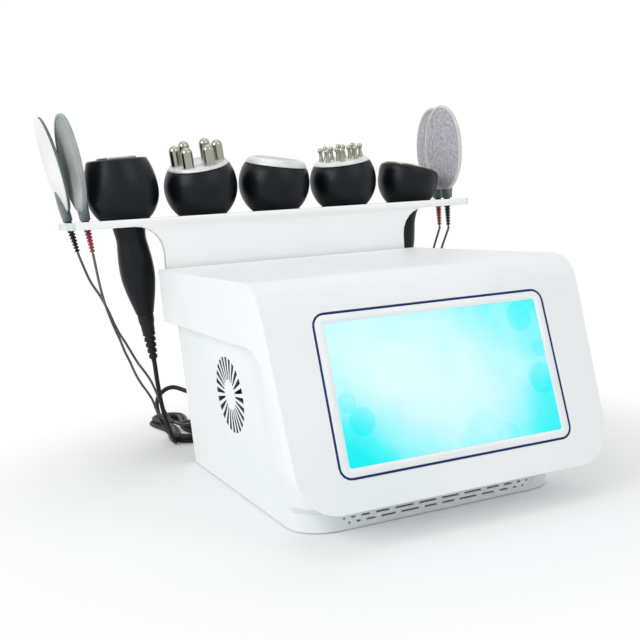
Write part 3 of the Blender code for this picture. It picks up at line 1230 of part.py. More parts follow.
def hank_line():
    """Long loops with round ends, drawn in at the waist: in and out again in flat layers, each climb along a run."""
    cx, cy = HANK_PLACE
    low = CORD_DIAMETER / 2 + GAP
    line = []
    for half in range(2 * HANK_LAYERS * HANK_TURNS):
        side = -1 if half % 2 == 0 else 1
        for i in range(HANK_RUN + HANK_BEND):
            turn = (half + i / (HANK_RUN + HANK_BEND)) / 2
            layer = int(turn / HANK_TURNS)
            within = turn - layer * HANK_TURNS
            wide = HANK_OUTER - HANK_STEP * (within if layer % 2 == 0 else HANK_TURNS - within)
            climb = min(2 * within * (HANK_RUN + HANK_BEND) / HANK_RUN, 1)
            z = low + HANK_RISE * (layer - 1 + climb if layer else 0)
            if i <= HANK_RUN:
                along = 2 * i / HANK_RUN - 1
                x = side * (wide - HANK_WAIST * math.cos(math.pi * along / 2) ** 2)
                y = -side * HANK_HALF * along
            else:
                angle = math.pi * (i - HANK_RUN) / HANK_BEND
                x = side * wide * math.cos(angle)
                y = -side * (HANK_HALF + wide * math.sin(angle))
            line.append(Vector((cx + x, cy + y, z)))
    end = Vector((cx - HANK_OUTER, cy - HANK_HALF, low + HANK_RISE * (HANK_LAYERS - 1)))
    lead = Vector((0, CORD_DIAMETER, 0))
    return [line[0] - lead, *line, end, end + lead]


def report_gap(line, diameter):
    """Prints the least distance from a wound cord to itself."""
    fine = []
    for a, b in zip(line, line[1:]):
        count = max(1, int((b - a).length / GAP_STEP))
        fine += [a.lerp(b, i / count) for i in range(count)]
    fine = np.array(fine)
    skip = int(3 * diameter / GAP_STEP)
    least = min(np.linalg.norm(fine[i + skip:] - fine[i], axis=1).min() for i in range(len(fine) - skip))
    print("least gap of the hank to itself, mm:", round((least - diameter) / MM, 2))


def exit_of(axis, depth):
    """The place at a depth below a frame's origin along its own axis, and the way on down from it."""
    bpy.context.view_layer.update()
    return axis.matrix_world @ Vector((0, 0, -depth)), -(axis.matrix_world.to_3x3() @ Vector((0, 0, 1)))


def make_plugs():
    """The handpiece cord's plug and one plug for each pair of pad leads."""
    face = SOCKET_REACH + 2 * GAP
    end = face + PLUG_LENGTH
    profile = [(0, end + PLUG_TAIL_LENGTH), (PLUG_TAIL, end + PLUG_TAIL_LENGTH), (PLUG_RADIUS, end), (PLUG_RADIUS, face),
               (PLUG_NOSE, face), (PLUG_NOSE, SOCKET_FLOOR + GAP), (0, SOCKET_FLOOR + GAP)]
    smooth(turned("cavitation_plug", profile, BLACK, sides=12, place=(SOCKET_FIRST, 0, SOCKET_HEIGHT), turn=TURN_BACK))
    face = JACK_REACH + 2 * GAP
    profile = [(0, face + JACK_PLUG_LENGTH), (JACK_PLUG_RADIUS, face + JACK_PLUG_LENGTH), (JACK_PLUG_RADIUS, face),
               (JACK_PLUG_NOSE, face), (JACK_PLUG_NOSE, GAP), (0, GAP)]
    for side, x in zip(("left", "right"), JACK_PLACES):
        smooth(turned("pad_plug_" + side, profile, BLACK, sides=12, place=(x, 0, JACK_HEIGHT), turn=TURN_BACK))


def make_cords(cavitation_axis, gland_end, pad_axes):
    back = Vector((0, 1, 0))
    line = hank_line()
    report_gap(line, CORD_DIAMETER)
    tube("cavitation_hank", line, CORD_DIAMETER, CORD, 1)
    start, way = exit_of(cavitation_axis, -gland_end)
    free_cord("cavitation_cord", CORD_DIAMETER, CORD_STEP, start, way, CORD_ROUTE, line[0], -back)
    socket = Vector((SOCKET_FIRST, SOCKET_REACH + 2 * GAP + PLUG_LENGTH + PLUG_TAIL_LENGTH, SOCKET_HEIGHT))
    free_cord("cavitation_tail", CORD_DIAMETER, CORD_STEP, line[-1], back, TAIL_ROUTE, socket, back)
    face = JACK_REACH + 2 * GAP + JACK_PLUG_LENGTH
    for name, route in LEAD_ROUTES.items():
        start, way = exit_of(pad_axes["pad_" + name], RELIEF_LENGTH)
        jack = JACK_PLACES[0] if name.startswith("left") else JACK_PLACES[1]
        shift = LEAD_PITCH / 2 if name in ("left_front", "right_front") else -LEAD_PITCH / 2
        free_cord("pad_lead_" + name, LEAD_DIAMETER, LEAD_STEP, start, way, route,
                  Vector((jack + shift, face, JACK_HEIGHT)), back)


# The nodes of the free cords and of the plugs on them
CORD_NODES = ("cavitation_cord", "cavitation_hank", "cavitation_tail", "cavitation_plug", "pad_plug_left",
              "pad_plug_right", "pad_lead_left_rear", "pad_lead_left_front", "pad_lead_right_front",
              "pad_lead_right_rear")


def centre_on_footprint(leave_out):
    """Moves the machine so that its box, without its free cords, is centred on the origin."""
    bpy.context.view_layer.update()
    corners = [obj.matrix_world @ v.co for obj in machine.objects
               if obj.type == "MESH" and obj.name not in leave_out for v in obj.data.vertices]
    xs = [p.x for p in corners]
    ys = [p.y for p in corners]
    machine_frame.location = (-(min(xs) + max(xs)) / 2, -(min(ys) + max(ys)) / 2, 0)
    bpy.context.view_layer.update()


make_hood()
make_screen()
make_base()
make_fan()
make_bottom()
make_back()
make_connector_board()
make_inlet()
make_electronics()
make_holder()
head_axes, cavitation_end = make_handpieces()
pad_axes = {pad: make_pad(pad, *setting) for pad, setting in PADS.items()}
make_plugs()
make_cords(head_axes["cavitation"], cavitation_end, pad_axes)
centre_on_footprint(CORD_NODES)
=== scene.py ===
# %% [markdown]
# # A desktop body sculpting machine
# The machine is a moulded white cabinet with a touch screen, a white acrylic holder with five black
# handpieces on it, and two pairs of oval electrode pads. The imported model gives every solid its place.
# This lesson dresses those solids: it keeps the ones whose shape is right, replaces the round ones by
# finer surfaces worked out with numpy, and gives each one the finish of the real material.

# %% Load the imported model
import json
import math
from collections import namedtuple

import bmesh
import bpy
import numpy as np
from mathutils import Matrix, Vector

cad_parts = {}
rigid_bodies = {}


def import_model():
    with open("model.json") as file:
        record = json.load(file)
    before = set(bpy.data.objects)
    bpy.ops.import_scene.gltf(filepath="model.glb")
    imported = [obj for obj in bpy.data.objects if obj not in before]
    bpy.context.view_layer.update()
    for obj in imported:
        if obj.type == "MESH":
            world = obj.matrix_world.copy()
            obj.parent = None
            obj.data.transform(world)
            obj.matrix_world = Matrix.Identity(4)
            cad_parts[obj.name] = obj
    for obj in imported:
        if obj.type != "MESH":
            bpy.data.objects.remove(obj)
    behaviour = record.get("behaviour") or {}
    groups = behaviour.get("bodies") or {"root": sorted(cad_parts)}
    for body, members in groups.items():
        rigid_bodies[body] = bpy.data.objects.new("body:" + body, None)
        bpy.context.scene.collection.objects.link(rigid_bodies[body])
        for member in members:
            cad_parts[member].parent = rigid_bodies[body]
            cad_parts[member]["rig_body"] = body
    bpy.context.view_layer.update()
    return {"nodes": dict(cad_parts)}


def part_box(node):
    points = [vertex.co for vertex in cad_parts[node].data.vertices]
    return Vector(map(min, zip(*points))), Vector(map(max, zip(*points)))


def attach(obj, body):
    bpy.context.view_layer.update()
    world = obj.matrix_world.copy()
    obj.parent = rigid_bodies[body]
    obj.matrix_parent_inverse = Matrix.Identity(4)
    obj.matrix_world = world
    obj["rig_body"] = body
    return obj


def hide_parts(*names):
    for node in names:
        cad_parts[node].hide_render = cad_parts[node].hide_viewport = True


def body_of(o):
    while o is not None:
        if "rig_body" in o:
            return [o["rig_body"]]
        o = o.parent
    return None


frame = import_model()
MM = 0.001
NODES = frame["nodes"]

# %% [markdown]
# ## Places
# The cabinet was drawn from its rear plane and its middle, and then moved so that its footprint is
# centred. The same two numbers are worked out again here from the hood, so that every size below can
# be given in millimetres from the middle of the cabinet's back.

# %% The cabinet's middle and its back
hood_low, hood_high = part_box("hood")
MIDDLE = (hood_low.x + hood_high.x) / 2
BACK = hood_high.y
HOME = Matrix.Translation((MIDDLE, BACK, 0))


def place(x, y, z, front=0.0, right=0.0, spin=0.0):
    """A frame at x, y, z in mm from the middle of the back, leant by degrees about X, then Y, then Z."""
    about_x, about_y, about_z = (Matrix.Rotation(math.radians(angle), 4, axis)
                                 for angle, axis in ((front, "X"), (right, "Y"), (spin, "Z")))
    return HOME @ Matrix.Translation(Vector((x, y, z)) * MM) @ about_z @ about_y @ about_x


def world(points, home=HOME):
    """Points in mm in a frame, as an array of places in metres."""
    matrix = np.array(home)
    return np.asarray(points, float) * MM @ matrix[:3, :3].T + matrix[:3, 3]


def within(places, home):
    """The other way round: places in metres, as points in metres in a frame."""
    matrix = np.array(home.inverted())
    return places @ matrix[:3, :3].T + matrix[:3, 3]


def show(name, data):
    """A new object in the scene, for a mesh, a curve, a camera or a lamp."""
    obj = bpy.data.objects.new(name, data)
    bpy.context.scene.collection.objects.link(obj)
    return obj


print("middle", round(MIDDLE / MM, 2), "back", round(BACK / MM, 2))

# %% [markdown]
# ## Camera
# The picture was taken from the left front, a little above the shelf, about a metre away. The lens is
# the one at which the cabinet's edges run together as they do in the picture, and the camera is rolled
# slightly, which shows in the table line.

# %% The camera
YAW, PITCH, ROLL = (math.radians(a) for a in (-24.42, -7.13, -3.49))
CAMERA_SPOT = (-452.8, -1060.8, 295.3)   # mm from the middle of the back
FOCAL, FRAME, SENSOR = 961.5, 640, 36    # focal length and frame in pixels, sensor in mm
forward = Vector((-math.sin(YAW) * math.cos(PITCH), math.cos(YAW) * math.cos(PITCH), math.sin(PITCH)))
level = Vector((math.cos(YAW), math.sin(YAW), 0))
upright = level.cross(forward)
across = math.cos(ROLL) * level + math.sin(ROLL) * upright
above = math.cos(ROLL) * upright - math.sin(ROLL) * level
lens = bpy.data.cameras.new("camera")
lens.sensor_width, lens.lens = SENSOR, FOCAL / FRAME * SENSOR
camera = show("camera", lens)
camera.matrix_world = (Matrix.Translation(HOME @ (Vector(CAMERA_SPOT) * MM))
                       @ Matrix((across, above, -forward)).transposed().to_4x4())
bpy.context.scene.camera = camera
print("camera at", [round(v, 3) for v in camera.location])

# %% [markdown]
# ## Small helpers for meshes
# Most of the new pieces are a row of rings: each ring is one loop of points, and the next ring follows
# it along the piece. The whole grid is one numpy array, so a shape is a formula and not a loop over
# points. A ring of zero size is a pole, and welding closes it.

# %% Rings of points become a mesh
def weld(mesh, outward=True, reach=1e-6):
    """Merges points that lie in one place and, where asked, turns all faces outwards."""
    shape = bmesh.new()
    shape.from_mesh(mesh)
    bmesh.ops.remove_doubles(shape, verts=shape.verts, dist=reach)
    if outward:
        bmesh.ops.recalc_face_normals(shape, faces=shape.faces)
    shape.to_mesh(mesh)
    shape.free()


def finish_piece(obj, mat, body, replaced=(), sharp=40):
    """Gives a piece its material and shading, and sets it on its body."""
    obj.data.materials.clear()
    obj.data.materials.append(mat)
    obj.data.shade_smooth()
    obj.data.set_sharp_from_angle(angle=math.radians(sharp))
    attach(obj, body)
    if replaced:
        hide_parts(*replaced)
    return obj


def skin(name, grids):
    """A mesh through a grid of points, rings x points x 3 in metres, or through several grids alike. Ring i
    joins ring i+1, and a ring's last point joins its first. Each grid's faces are those of the first, moved
    on by the number of points before it."""
    grids = np.asarray(grids, float)
    n, m = grids.shape[-3:-1]
    i, j = np.meshgrid(np.arange(n - 1), np.arange(m), indexing="ij")
    k = (j + 1) % m
    quads = np.stack([i * m + j, i * m + k, (i + 1) * m + k, (i + 1) * m + j], axis=-1)
    points = grids.reshape(-1, 3)
    faces = quads.reshape(-1, 4) + np.arange(0, len(points), n * m)[:, None, None]
    mesh = bpy.data.meshes.new(name)
    mesh.from_pydata(points.tolist(), [], faces.reshape(-1, 4).tolist())
    weld(mesh)
    return show(name, mesh)


def sweep(profile, sides, squeeze=1.0):
    """A profile of radius and height, carried round Z: rings of (r cos a, squeeze r sin a, z)."""
    r, z = np.asarray(profile, float).T
    a = np.linspace(0, 2 * np.pi, sides, endpoint=False)
    flat = np.outer(z, np.ones(sides))
    return np.stack([np.outer(r, np.cos(a)), squeeze * np.outer(r, np.sin(a)), flat], axis=-1)


def turned(name, profile, home, sides, squeeze=1.0):
    """A profile in mm turned round a frame's Z, as one skin."""
    return skin(name, world(sweep(profile, sides, squeeze), home))


def copies(name, profile, homes, mat, body, replaced=(), sides=32, sharp=50):
    """One turned profile at several frames, as one finished piece."""
    grid = sweep(profile, sides)
    obj = skin(name, [world(grid, home) for home in homes])
    return finish_piece(obj, mat, body, replaced, sharp)


def curve_through(points, steps=8):
    """A smooth line through points, by the Catmull-Rom formula
    (2b + (c-a)t + (2a-5b+4c-d)t^2 + (3b-a-3c+d)t^3) / 2 between each b and c."""
    p = np.asarray(points, float)
    p = np.vstack([2 * p[0] - p[1], p, 2 * p[-1] - p[-2]])
    t = np.linspace(0, 1, steps, endpoint=False)[None, :, None]
    a, b, c, d = (p[k:len(p) - 3 + k, None] for k in range(4))
    bend, twist = 2 * a - 5 * b + 4 * c - d, 3 * b - a - 3 * c + d
    line = 0.5 * (2 * b + (c - a) * t + bend * t ** 2 + twist * t ** 3)
    return np.vstack([line.reshape(-1, p.shape[1]), p[-2]])


def even(line, step):
    """The same line with its points at even distances."""
    length = np.concatenate([[0], np.cumsum(np.linalg.norm(np.diff(line, axis=0), axis=1))])
    at = np.linspace(0, length[-1], max(round(length[-1] / step), 2) + 1)
    return np.stack([np.interp(at, length, line[:, k]) for k in range(line.shape[1])], axis=1)


def bow(centre, radius, start, end, steps):
    """An arc of a circle as (x, y) points, angles in degrees."""
    a = np.radians(np.linspace(start, end, steps + 1))
    return np.stack([centre[0] + radius * np.cos(a), centre[1] + radius * np.sin(a)], axis=1)


def round_outline(width, height, radius, steps=10):
    """A rectangle with round corners: four quarter circles about points one radius in from the corners."""
    u, v = width / 2 - radius, height / 2 - radius
    return np.vstack([bow((sx * u, sy * v), radius, 90 * k, 90 * k + 90, steps)
                      for k, (sx, sy) in enumerate(((1, 1), (-1, 1), (-1, -1), (1, -1)))])


# %% Reading and marking a mesh
def points_of(mesh):
    """A mesh's points, as an array of three columns."""
    co = np.empty(len(mesh.vertices) * 3)
    mesh.vertices.foreach_get("co", co)
    return co.reshape(-1, 3)


def faces_of(mesh):
    """The normals and the middles of a mesh's faces, as two arrays of three columns."""
    normal, middle = np.empty(len(mesh.polygons) * 3), np.empty(len(mesh.polygons) * 3)
    mesh.polygons.foreach_get("normal", normal)
    mesh.polygons.foreach_get("center", middle)
    return normal.reshape(-1, 3), middle.reshape(-1, 3)


def second_finish(obj, mat, chosen):
    """Gives the chosen faces of a piece a material of their own."""
    obj.data.materials.append(mat)
    obj.data.polygons.foreach_set("material_index", chosen.astype(np.int32))


# %% [markdown]
# ## Small helpers for materials
# Every material starts from one Principled shader. Patterns are measured on Object coordinates, so a
# grain has the same size on every piece and stays where it is when a piece moves.

# %% Materials from nodes
def linear(code):
    """An sRGB hex colour as linear red, green, blue and alpha: c / 12.92 for c up to 0.04045, and
    ((c + 0.055) / 1.055)^2.4 above it."""
    c = np.array([int(code[i:i + 2], 16) for i in (0, 2, 4)]) / 255
    return (*np.where(c <= 0.04045, c / 12.92, ((c + 0.055) / 1.055) ** 2.4), 1.0)


def material(name, colour, roughness, **values):
    """A Principled material: sRGB colour, roughness, and any other of the shader's sockets by name."""
    mat = bpy.data.materials.new(name)
    mat.use_nodes = True
    shader = mat.node_tree.nodes["Principled BSDF"]
    shader.inputs["Base Color"].default_value = linear(colour)
    shader.inputs["Roughness"].default_value = roughness
    for socket, value in values.items():
        shader.inputs[socket.replace("_", " ")].default_value = value
    mat.diffuse_color = linear(colour)
    return mat


def add(mat, kind, values=None, links=None, to=None, **settings):
    """Adds a node with values by socket, links as socket -> (node, output) and, where its result goes to
    the shader, to = (the shader's socket, output)."""
    tree = mat.node_tree
    node = tree.nodes.new("ShaderNode" + kind)
    for key, value in settings.items():
        setattr(node, key, value)
    for key, value in (values or {}).items():
        node.inputs[key].default_value = value
    for key, (source, output) in (links or {}).items():
        tree.links.new(source.outputs[output], node.inputs[key])
    if to:
        tree.links.new(node.outputs[to[1]], tree.nodes["Principled BSDF"].inputs[to[0]])
    return node


def grain(mat, size, height, spread):
    """A fine moulded or cast grain: bumps of one size and height in metres, and a roughness that drifts
    by a spread over patches forty times as large."""
    spot = add(mat, "TexCoord")
    noise = add(mat, "TexNoise", {"Scale": 1 / size, "Detail": 2.0}, {"Vector": (spot, "Object")})
    add(mat, "Bump", {"Strength": 1.0, "Distance": height}, {"Height": (noise, "Fac")},
        ("Normal", "Normal"))
    rough = mat.node_tree.nodes["Principled BSDF"].inputs["Roughness"].default_value
    patch = size * 40
    broad = add(mat, "TexNoise", {"Scale": 1 / patch, "Detail": 3.0}, {"Vector": (spot, "Object")})
    limits = {"From Min": 0.3, "From Max": 0.7, "To Min": rough - spread, "To Max": rough + spread}
    add(mat, "MapRange", limits, {"Value": (broad, "Fac")}, ("Roughness", "Result"))
    return spot


def grained(name, colour, roughness, bumps, patch, dark, light, **values):
    """A material with a grain and a colour that drifts between two hex colours over patches in metres."""
    mat = material(name, colour, roughness, **values)
    spot = grain(mat, *bumps)
    noise = add(mat, "TexNoise", {"Scale": 1 / patch, "Detail": 3.0}, {"Vector": (spot, "Object")})
    ramp = add(mat, "ValToRGB", links={"Fac": (noise, "Fac")}, to=("Base Color", "Color"))
    for element, (at, code) in zip(ramp.color_ramp.elements, ((0.35, dark), (0.65, light))):
        element.position, element.color = at, linear(code)
    return mat


# %% [markdown]
# ## Finishes
# The cabinet is injection-moulded ABS in a cool white. The mould was spark-eroded, which leaves a dull
# grain of about 0.2 mm; it is drawn at 0.7 mm, the finest that still shows. The holder is cut from cast
# acrylic sheet: glossy faces, and edges in which the light turns faintly green. Handles and heads are
# satin black ABS, the electrodes chrome-plated brass, and the cords soft PVC.

# %% Plastics
WHITE_ABS = grained("moulded_white_abs", "EFF3F4", 0.42, (0.0007, 0.00002, 0.05), 0.12, "ECF1F2", "F2F5F6",
                    Specular_IOR_Level=0.4)

ACRYLIC = grained("cast_acrylic_sheet", "FAFCFC", 0.14, (0.03, 0.00003, 0.03), 0.2, "F8FBFB", "FCFEFE",
                  IOR=1.49, Coat_Weight=0.2, Coat_Roughness=0.05)

ACRYLIC_EDGE = grained("sawn_acrylic_edge", "D0DED7", 0.3, (0.0012, 0.00003, 0.06), 0.02, "C4D5CC",
                       "DEE8E3", IOR=1.49)

BLACK_ABS = grained("satin_black_abs", "0A0F15", 0.34, (0.0006, 0.000012, 0.05), 0.03, "080C11", "0D141B",
                    Specular_IOR_Level=0.22)

GREY_ABS = grained("pad_shell_abs", "D6D8D4", 0.3, (0.0006, 0.00001, 0.05), 0.02, "CFD1CD", "DEE0DB")

WHITE_SHELL = grained("white_pad_shell_abs", "E9E9E8", 0.3, (0.0006, 0.000004, 0.04), 0.05, "E2E2E1",
                      "EFEFEE")

SMOKE_ABS = grained("smoke_grey_abs", "9BA3A4", 0.28, (0.0006, 0.00001, 0.05), 0.03, "8E9798", "ABB1B2",
                    Coat_Weight=0.2)

GRAPHITE = grained("graphite_filled_silicone", "979D9C", 0.36, (0.0007, 0.00001, 0.05), 0.045, "858C8B",
                   "AEB3B1", Coat_Weight=0.15, Coat_Roughness=0.2)

PALE_ABS = grained("pale_electrode_plate", "DDE1E0", 0.25, (0.0008, 0.00001, 0.04), 0.02, "D6DBDA",
                   "E6E9E8", Coat_Weight=0.3)

# painted shade: the grille's slot walls are white ABS like the rest, drawn dark grey for the shade of the
# fan behind them
SLOT_PAINTED_SHADE = grained("slot_wall_painted_shade", "5B6365", 0.6, (0.0007, 0.00002, 0.05), 0.02, "525A5C", "636B6D")

# %% Soft plastics and rubbers
BLACK_PVC = grained("soft_black_pvc", "0E1013", 0.48, (0.0008, 0.00002, 0.08), 0.01, "0C0E10", "131518",
                    Specular_IOR_Level=0.3)

RED_PVC = grained("soft_red_pvc", "94192F", 0.42, (0.0008, 0.00002, 0.08), 0.01, "8A172D", "9F223A",
                  Subsurface_Weight=0.05)

CORD_PVC = grained("black_cord_jacket_pvc", "0F1217", 0.42, (0.0012, 0.00003, 0.08), 0.02, "0C0F13",
                   "151920", Specular_IOR_Level=0.3)

LEAD_PVC = grained("olive_lead_jacket_pvc", "4A4F45", 0.4, (0.0009, 0.00002, 0.08), 0.03, "3F443B",
                   "5B6156")

NECK_PVC = grained("smoky_pad_neck_pvc", "5E6E70", 0.3, (0.0008, 0.00001, 0.05), 0.012, "546366", "6E7C7E",
                   Coat_Weight=0.15)

RUBBER = grained("foot_rubber", "202224", 0.75, (0.0006, 0.00004, 0.06), 0.01, "1A1C1E", "2A2C2E")

# %% Metals
CHROME = material("chrome_plated_brass", "A3A396", 0.13, Metallic=1.0)
grain(CHROME, 0.002, 0.000004, 0.04)

STEEL = grained("zinc_plated_steel", "AEB2B6", 0.34, (0.0015, 0.00001, 0.08), 0.008, "A2A6AB", "BFC3C6",
                Metallic=1.0)

SHEET_STEEL = grained("powder_coated_sheet_steel", "E3E6E8", 0.5, (0.001, 0.00004, 0.05), 0.05, "DDE1E3",
                      "E9EBED")

GOLD = material("gold_plated_pin", "D9B566", 0.2, Metallic=1.0)
grain(GOLD, 0.001, 0.000005, 0.05)

# %% Electronics
BOARD = grained("circuit_board_laminate", "1F6B45", 0.45, (0.001, 0.00003, 0.05), 0.004, "185A39", "27784F")

MODULE = grained("blackened_steel_and_abs", "24282D", 0.5, (0.0008, 0.00002, 0.06), 0.01, "1F2328",
                 "2B2F34")

# %% [markdown]
# ## Conductive face of a pad
# The right pads have a face of silver-grey knitted fabric that carries the current. Its loops are about
# 1.2 mm apart and catch the light unevenly, so it looks mottled. A Voronoi pattern gives the loops, drawn
# at 1.6 mm so that they show, and a coarser noise gives the uneven shine. The left pads have a plain face
# of graphite-filled silicone.

# %% Knitted silver fabric
LOOP, SHINE, LOOP_HEIGHT = 0.0016, 0.004, 0.00018    # metres
FABRIC = material("silver_conductive_knit", "9A9AA3", 0.62, Sheen_Weight=0.25, Sheen_Roughness=0.4)
spot = add(FABRIC, "TexCoord")
loops = add(FABRIC, "TexVoronoi", {"Scale": 1 / LOOP, "Randomness": 0.75}, {"Vector": (spot, "Object")})
uneven = add(FABRIC, "TexNoise", {"Scale": 1 / SHINE, "Detail": 6.0, "Roughness": 0.75},
             {"Vector": (spot, "Object")})
both = add(FABRIC, "Math", {1: 0.45}, {0: (loops, "Distance")}, operation="MULTIPLY")
both = add(FABRIC, "Math", links={0: (both, "Value"), 1: (uneven, "Fac")}, operation="ADD")
ramp = add(FABRIC, "ValToRGB", links={"Fac": (both, "Value")}, to=("Base Color", "Color"))
for element, (at, code) in zip(ramp.color_ramp.elements, ((0.42, "73747E"), (0.86, "C8C7CE"))):
    element.position, element.color = at, linear(code)
add(FABRIC, "Bump", {"Strength": 1.0, "Distance": LOOP_HEIGHT}, {"Height": (both, "Value")},
    ("Normal", "Normal"))
print(len(bpy.data.materials), "materials")

# %% [markdown]
# ## Cords
# A handpiece cord is a soft PVC lead of 5.4 mm. It leaves the ribbed sleeve at the handle's end, drops
# behind the cabinet, lies there in a folded hank, and goes up again to its plug in the back. The four
# pad leads are thinner, 3 mm, and run beside it. A curve along the middle line, with a round bevel, is
# the natural way to make a cord, because its length can be measured on that line.

# %% Routes of the cords, in mm from the middle of the back
CORD_ROUTE = [
    (-166, 54, 108), (-163.5, 60, 92), (-160, 68, 74), (-155.5, 76, 54), (-150, 83, 35),
    (-144, 89, 18), (-139, 94, 7), (-137, 99, 3.6)]
TAIL_ROUTE = [
    (-137.5, 128, 12), (-141, 136, 21), (-146, 134, 35), (-150, 124, 49), (-151, 109, 62),
    (-148, 100, 69), (-142, 97, 73), (-135, 95, 74), (-128, 90, 72), (-119, 79, 68),
    (-110, 65, 65.6)]
LEAD_ROUTES = {
    "left_rear": [
        (-230, 75, 218), (-219, 77, 198), (-210, 79, 178), (-205, 80, 164), (-199, 81, 150),
        (-193.5, 81, 139.8), (-187, 81.5, 126.7), (-179.6, 82.5, 112), (-171.8, 84, 99.8),
        (-165, 86, 88), (-160, 88, 76), (-154, 92, 60), (-147, 98, 45), (-138, 107, 31),
        (-126, 120, 21), (-112, 132, 15.5), (-97, 141, 14.8), (-84, 148, 12.5), (-74, 157, 5.5),
        (-62, 170, 2), (-44, 180, 2), (-24, 178, 2), (-12, 160, 2), (-14, 135, 2), (-28, 112, 5),
        (-48, 92, 20), (-68, 75, 46), (-86, 62, 76), (-99, 52, 98)],
    "left_front": [
        (-225, 50, 221), (-221, 56, 202), (-215, 64, 182), (-208, 71, 163), (-200.4, 75.5, 143.4),
        (-195.5, 77, 128.5), (-190, 78.5, 115), (-184.5, 80, 100), (-177.5, 83, 86), (-170, 88, 74.5),
        (-162, 96, 61), (-156, 106, 47), (-147, 118, 34), (-135, 131, 24), (-120, 143, 17),
        (-105, 152, 15.2), (-91, 158, 13.8), (-79, 166, 6.5), (-66, 180, 2), (-44, 194, 2),
        (-18, 192, 2), (1, 170, 2), (-2, 138, 2), (-18, 108, 6), (-40, 84, 24), (-62, 66, 52),
        (-80, 54, 82), (-94, 45, 100)],
    "right_front": [
        (235, 45, 222), (224, 50, 190), (214, 58, 150), (205, 70, 105), (196, 88, 60), (184, 112, 22),
        (176, 150, 4), (165, 195, 2), (140, 232, 2), (104, 246, 2), (70, 232, 2), (50, 196, 2),
        (43, 160, 3), (41, 125, 14), (41.5, 90, 45), (42, 62, 82), (42, 45, 104)],
    "right_rear": [
        (241, 75, 221), (232, 79, 190), (224, 86, 150), (216, 98, 105), (207, 116, 60), (194, 142, 20),
        (188, 176, 4), (176, 214, 2), (148, 248, 2), (104, 259.9, 2), (62, 246, 2), (36, 206, 2),
        (27, 168, 3), (23, 128, 14), (26, 90, 45), (33, 62, 82), (37.5, 45, 104)]}

CORD, LEAD = 5.4, 3.0                        # diameters of the handpiece cord and of a pad lead
GAP = 0.3                                    # clear distance between pieces that don't touch
SOCKET, SOCKET_HEIGHT = -104, 66             # first round socket: its x and its height
SOCKET_PITCH = 36
JACK, JACK_HEIGHT = {"left": -104, "right": 40}, 110
print(len(LEAD_ROUTES), "pad leads and one handpiece cord")


# %% The hank: long loops with round ends
def hank_line(cx=-112.0, cy=165.0, outer=24.0, half=54.0, step=6.2, rise=6.1, waist=7.5):
    """Two flat layers of two turns each. A turn is two runs and two half circles. Its width shrinks by one
    step a turn on the way in and grows again on the way out. On a run x = side (wide - waist cos^2(pi s/2))
    and y = -side half s, and on a bend x = side wide cos a and y = -side (half + wide sin a)."""
    at = np.arange(0, 8 * 12, 1 / 3)
    side = np.where((at // 12) % 2 == 0, -1.0, 1.0)
    i = at % 12
    layer = np.floor(at / 48)
    turn = at / 24 - layer * 2
    wide = outer - step * np.where(layer % 2 == 0, turn, 2 - turn)
    z = CORD / 2 + GAP + rise * np.where(layer > 0, np.minimum(6 * turn, 1), 0)
    s, a = i / 2 - 1, np.pi * (i - 4) / 8
    x = side * np.where(i <= 4, wide - waist * np.cos(np.pi * s / 2) ** 2, wide * np.cos(a))
    y = -side * np.where(i <= 4, half * s, half + wide * np.sin(a))
    line = np.stack([cx + x, cy + y, z], axis=1)
    end = np.array([cx - outer, cy - half, CORD / 2 + GAP + rise])
    lead = np.array([0, CORD, 0])
    return np.vstack([line[0] - lead, line, end, end + lead])


HANK = hank_line()
print("hank's turns, mm of cord:", round(float(np.linalg.norm(np.diff(HANK, axis=0), axis=1).sum())))


# %% Frames of the handpieces and the pads
SHELF, HOLE_RADIUS, HANDLE_LENGTH = 286.0, 29.0, 112.0
COLLAR, RIBS, RIB_PITCH = 22, 5, 7           # the cord sleeve: its smooth part, its ribs and their pitch
HEAD_ROW, REAR_ROW, FRONT_ROW = 48, 74, 44.5  # distances of the holes behind the middle of the back
# x of the hole, ball's radius, height of its cut top, upward stretch, the top's slant to the right, lean
# to the back and to the right, and the handle's radius
Head = namedtuple("Head", "x radius top stretch slant front right handle")
HEADS = {"cavitation": Head(-189.0, 42.0, 38.5, 1.57, 3.5, 1.5, -6.3, 19.8),
         "six_pole": Head(-94.5, 44.0, 24.5, 1.0, -2.6, 12.0, -6.5, 18.4),
         "flat_head": Head(0.0, 44.0, 21.5, 1.0, 0.0, 9.0, 6.5, 18.4),
         "ball_pin": Head(94.5, 42.5, 22.5, 1.0, -2.8, 6.5, -4.5, 18.4),
         "bowl_head": Head(189.0, 39.5, 17.0, 1.9, 4.0, 3.0, 9.5, 18.4)}


def ball_rise(radius):
    """Height of a ball's middle over the rim of its hole: the square root of radius^2 - hole^2."""
    return math.sqrt((radius + GAP) ** 2 - HOLE_RADIUS ** 2)


HEAD_HOME = {name: place(head.x, HEAD_ROW, SHELF + ball_rise(head.radius), head.front, head.right)
             for name, head in HEADS.items()}
PAD_HOME = {"left_rear": place(-248.5, REAR_ROW, SHELF, 0, 12.5, 184),
            "left_front": place(-234.5, FRONT_ROW, SHELF, 0, -8, 8),
            "right_front": place(246, FRONT_ROW, SHELF, 0, -0.7, 14),
            "right_rear": place(250.5, REAR_ROW, SHELF, 0, -0.7, 14)}
SLEEVE_END = ball_rise(HEADS["cavitation"].radius) + HANDLE_LENGTH + GAP + COLLAR + RIBS * RIB_PITCH
print("cord leaves its sleeve", round(SLEEVE_END), "mm below the ball's middle")


# %% A plug for each cord
def standing_back(x, z):
    """A frame on the back panel whose Z points out of the machine's back."""
    return place(x, 0, z, -90)


PLUG_FACE, PLUG_LENGTH, PLUG_TAIL = 3.8, 26, 9    # handpiece plug: its face stands on the socket's block
JACK_FACE, JACK_LENGTH, JACK_TAIL = 3.6, 20, 2


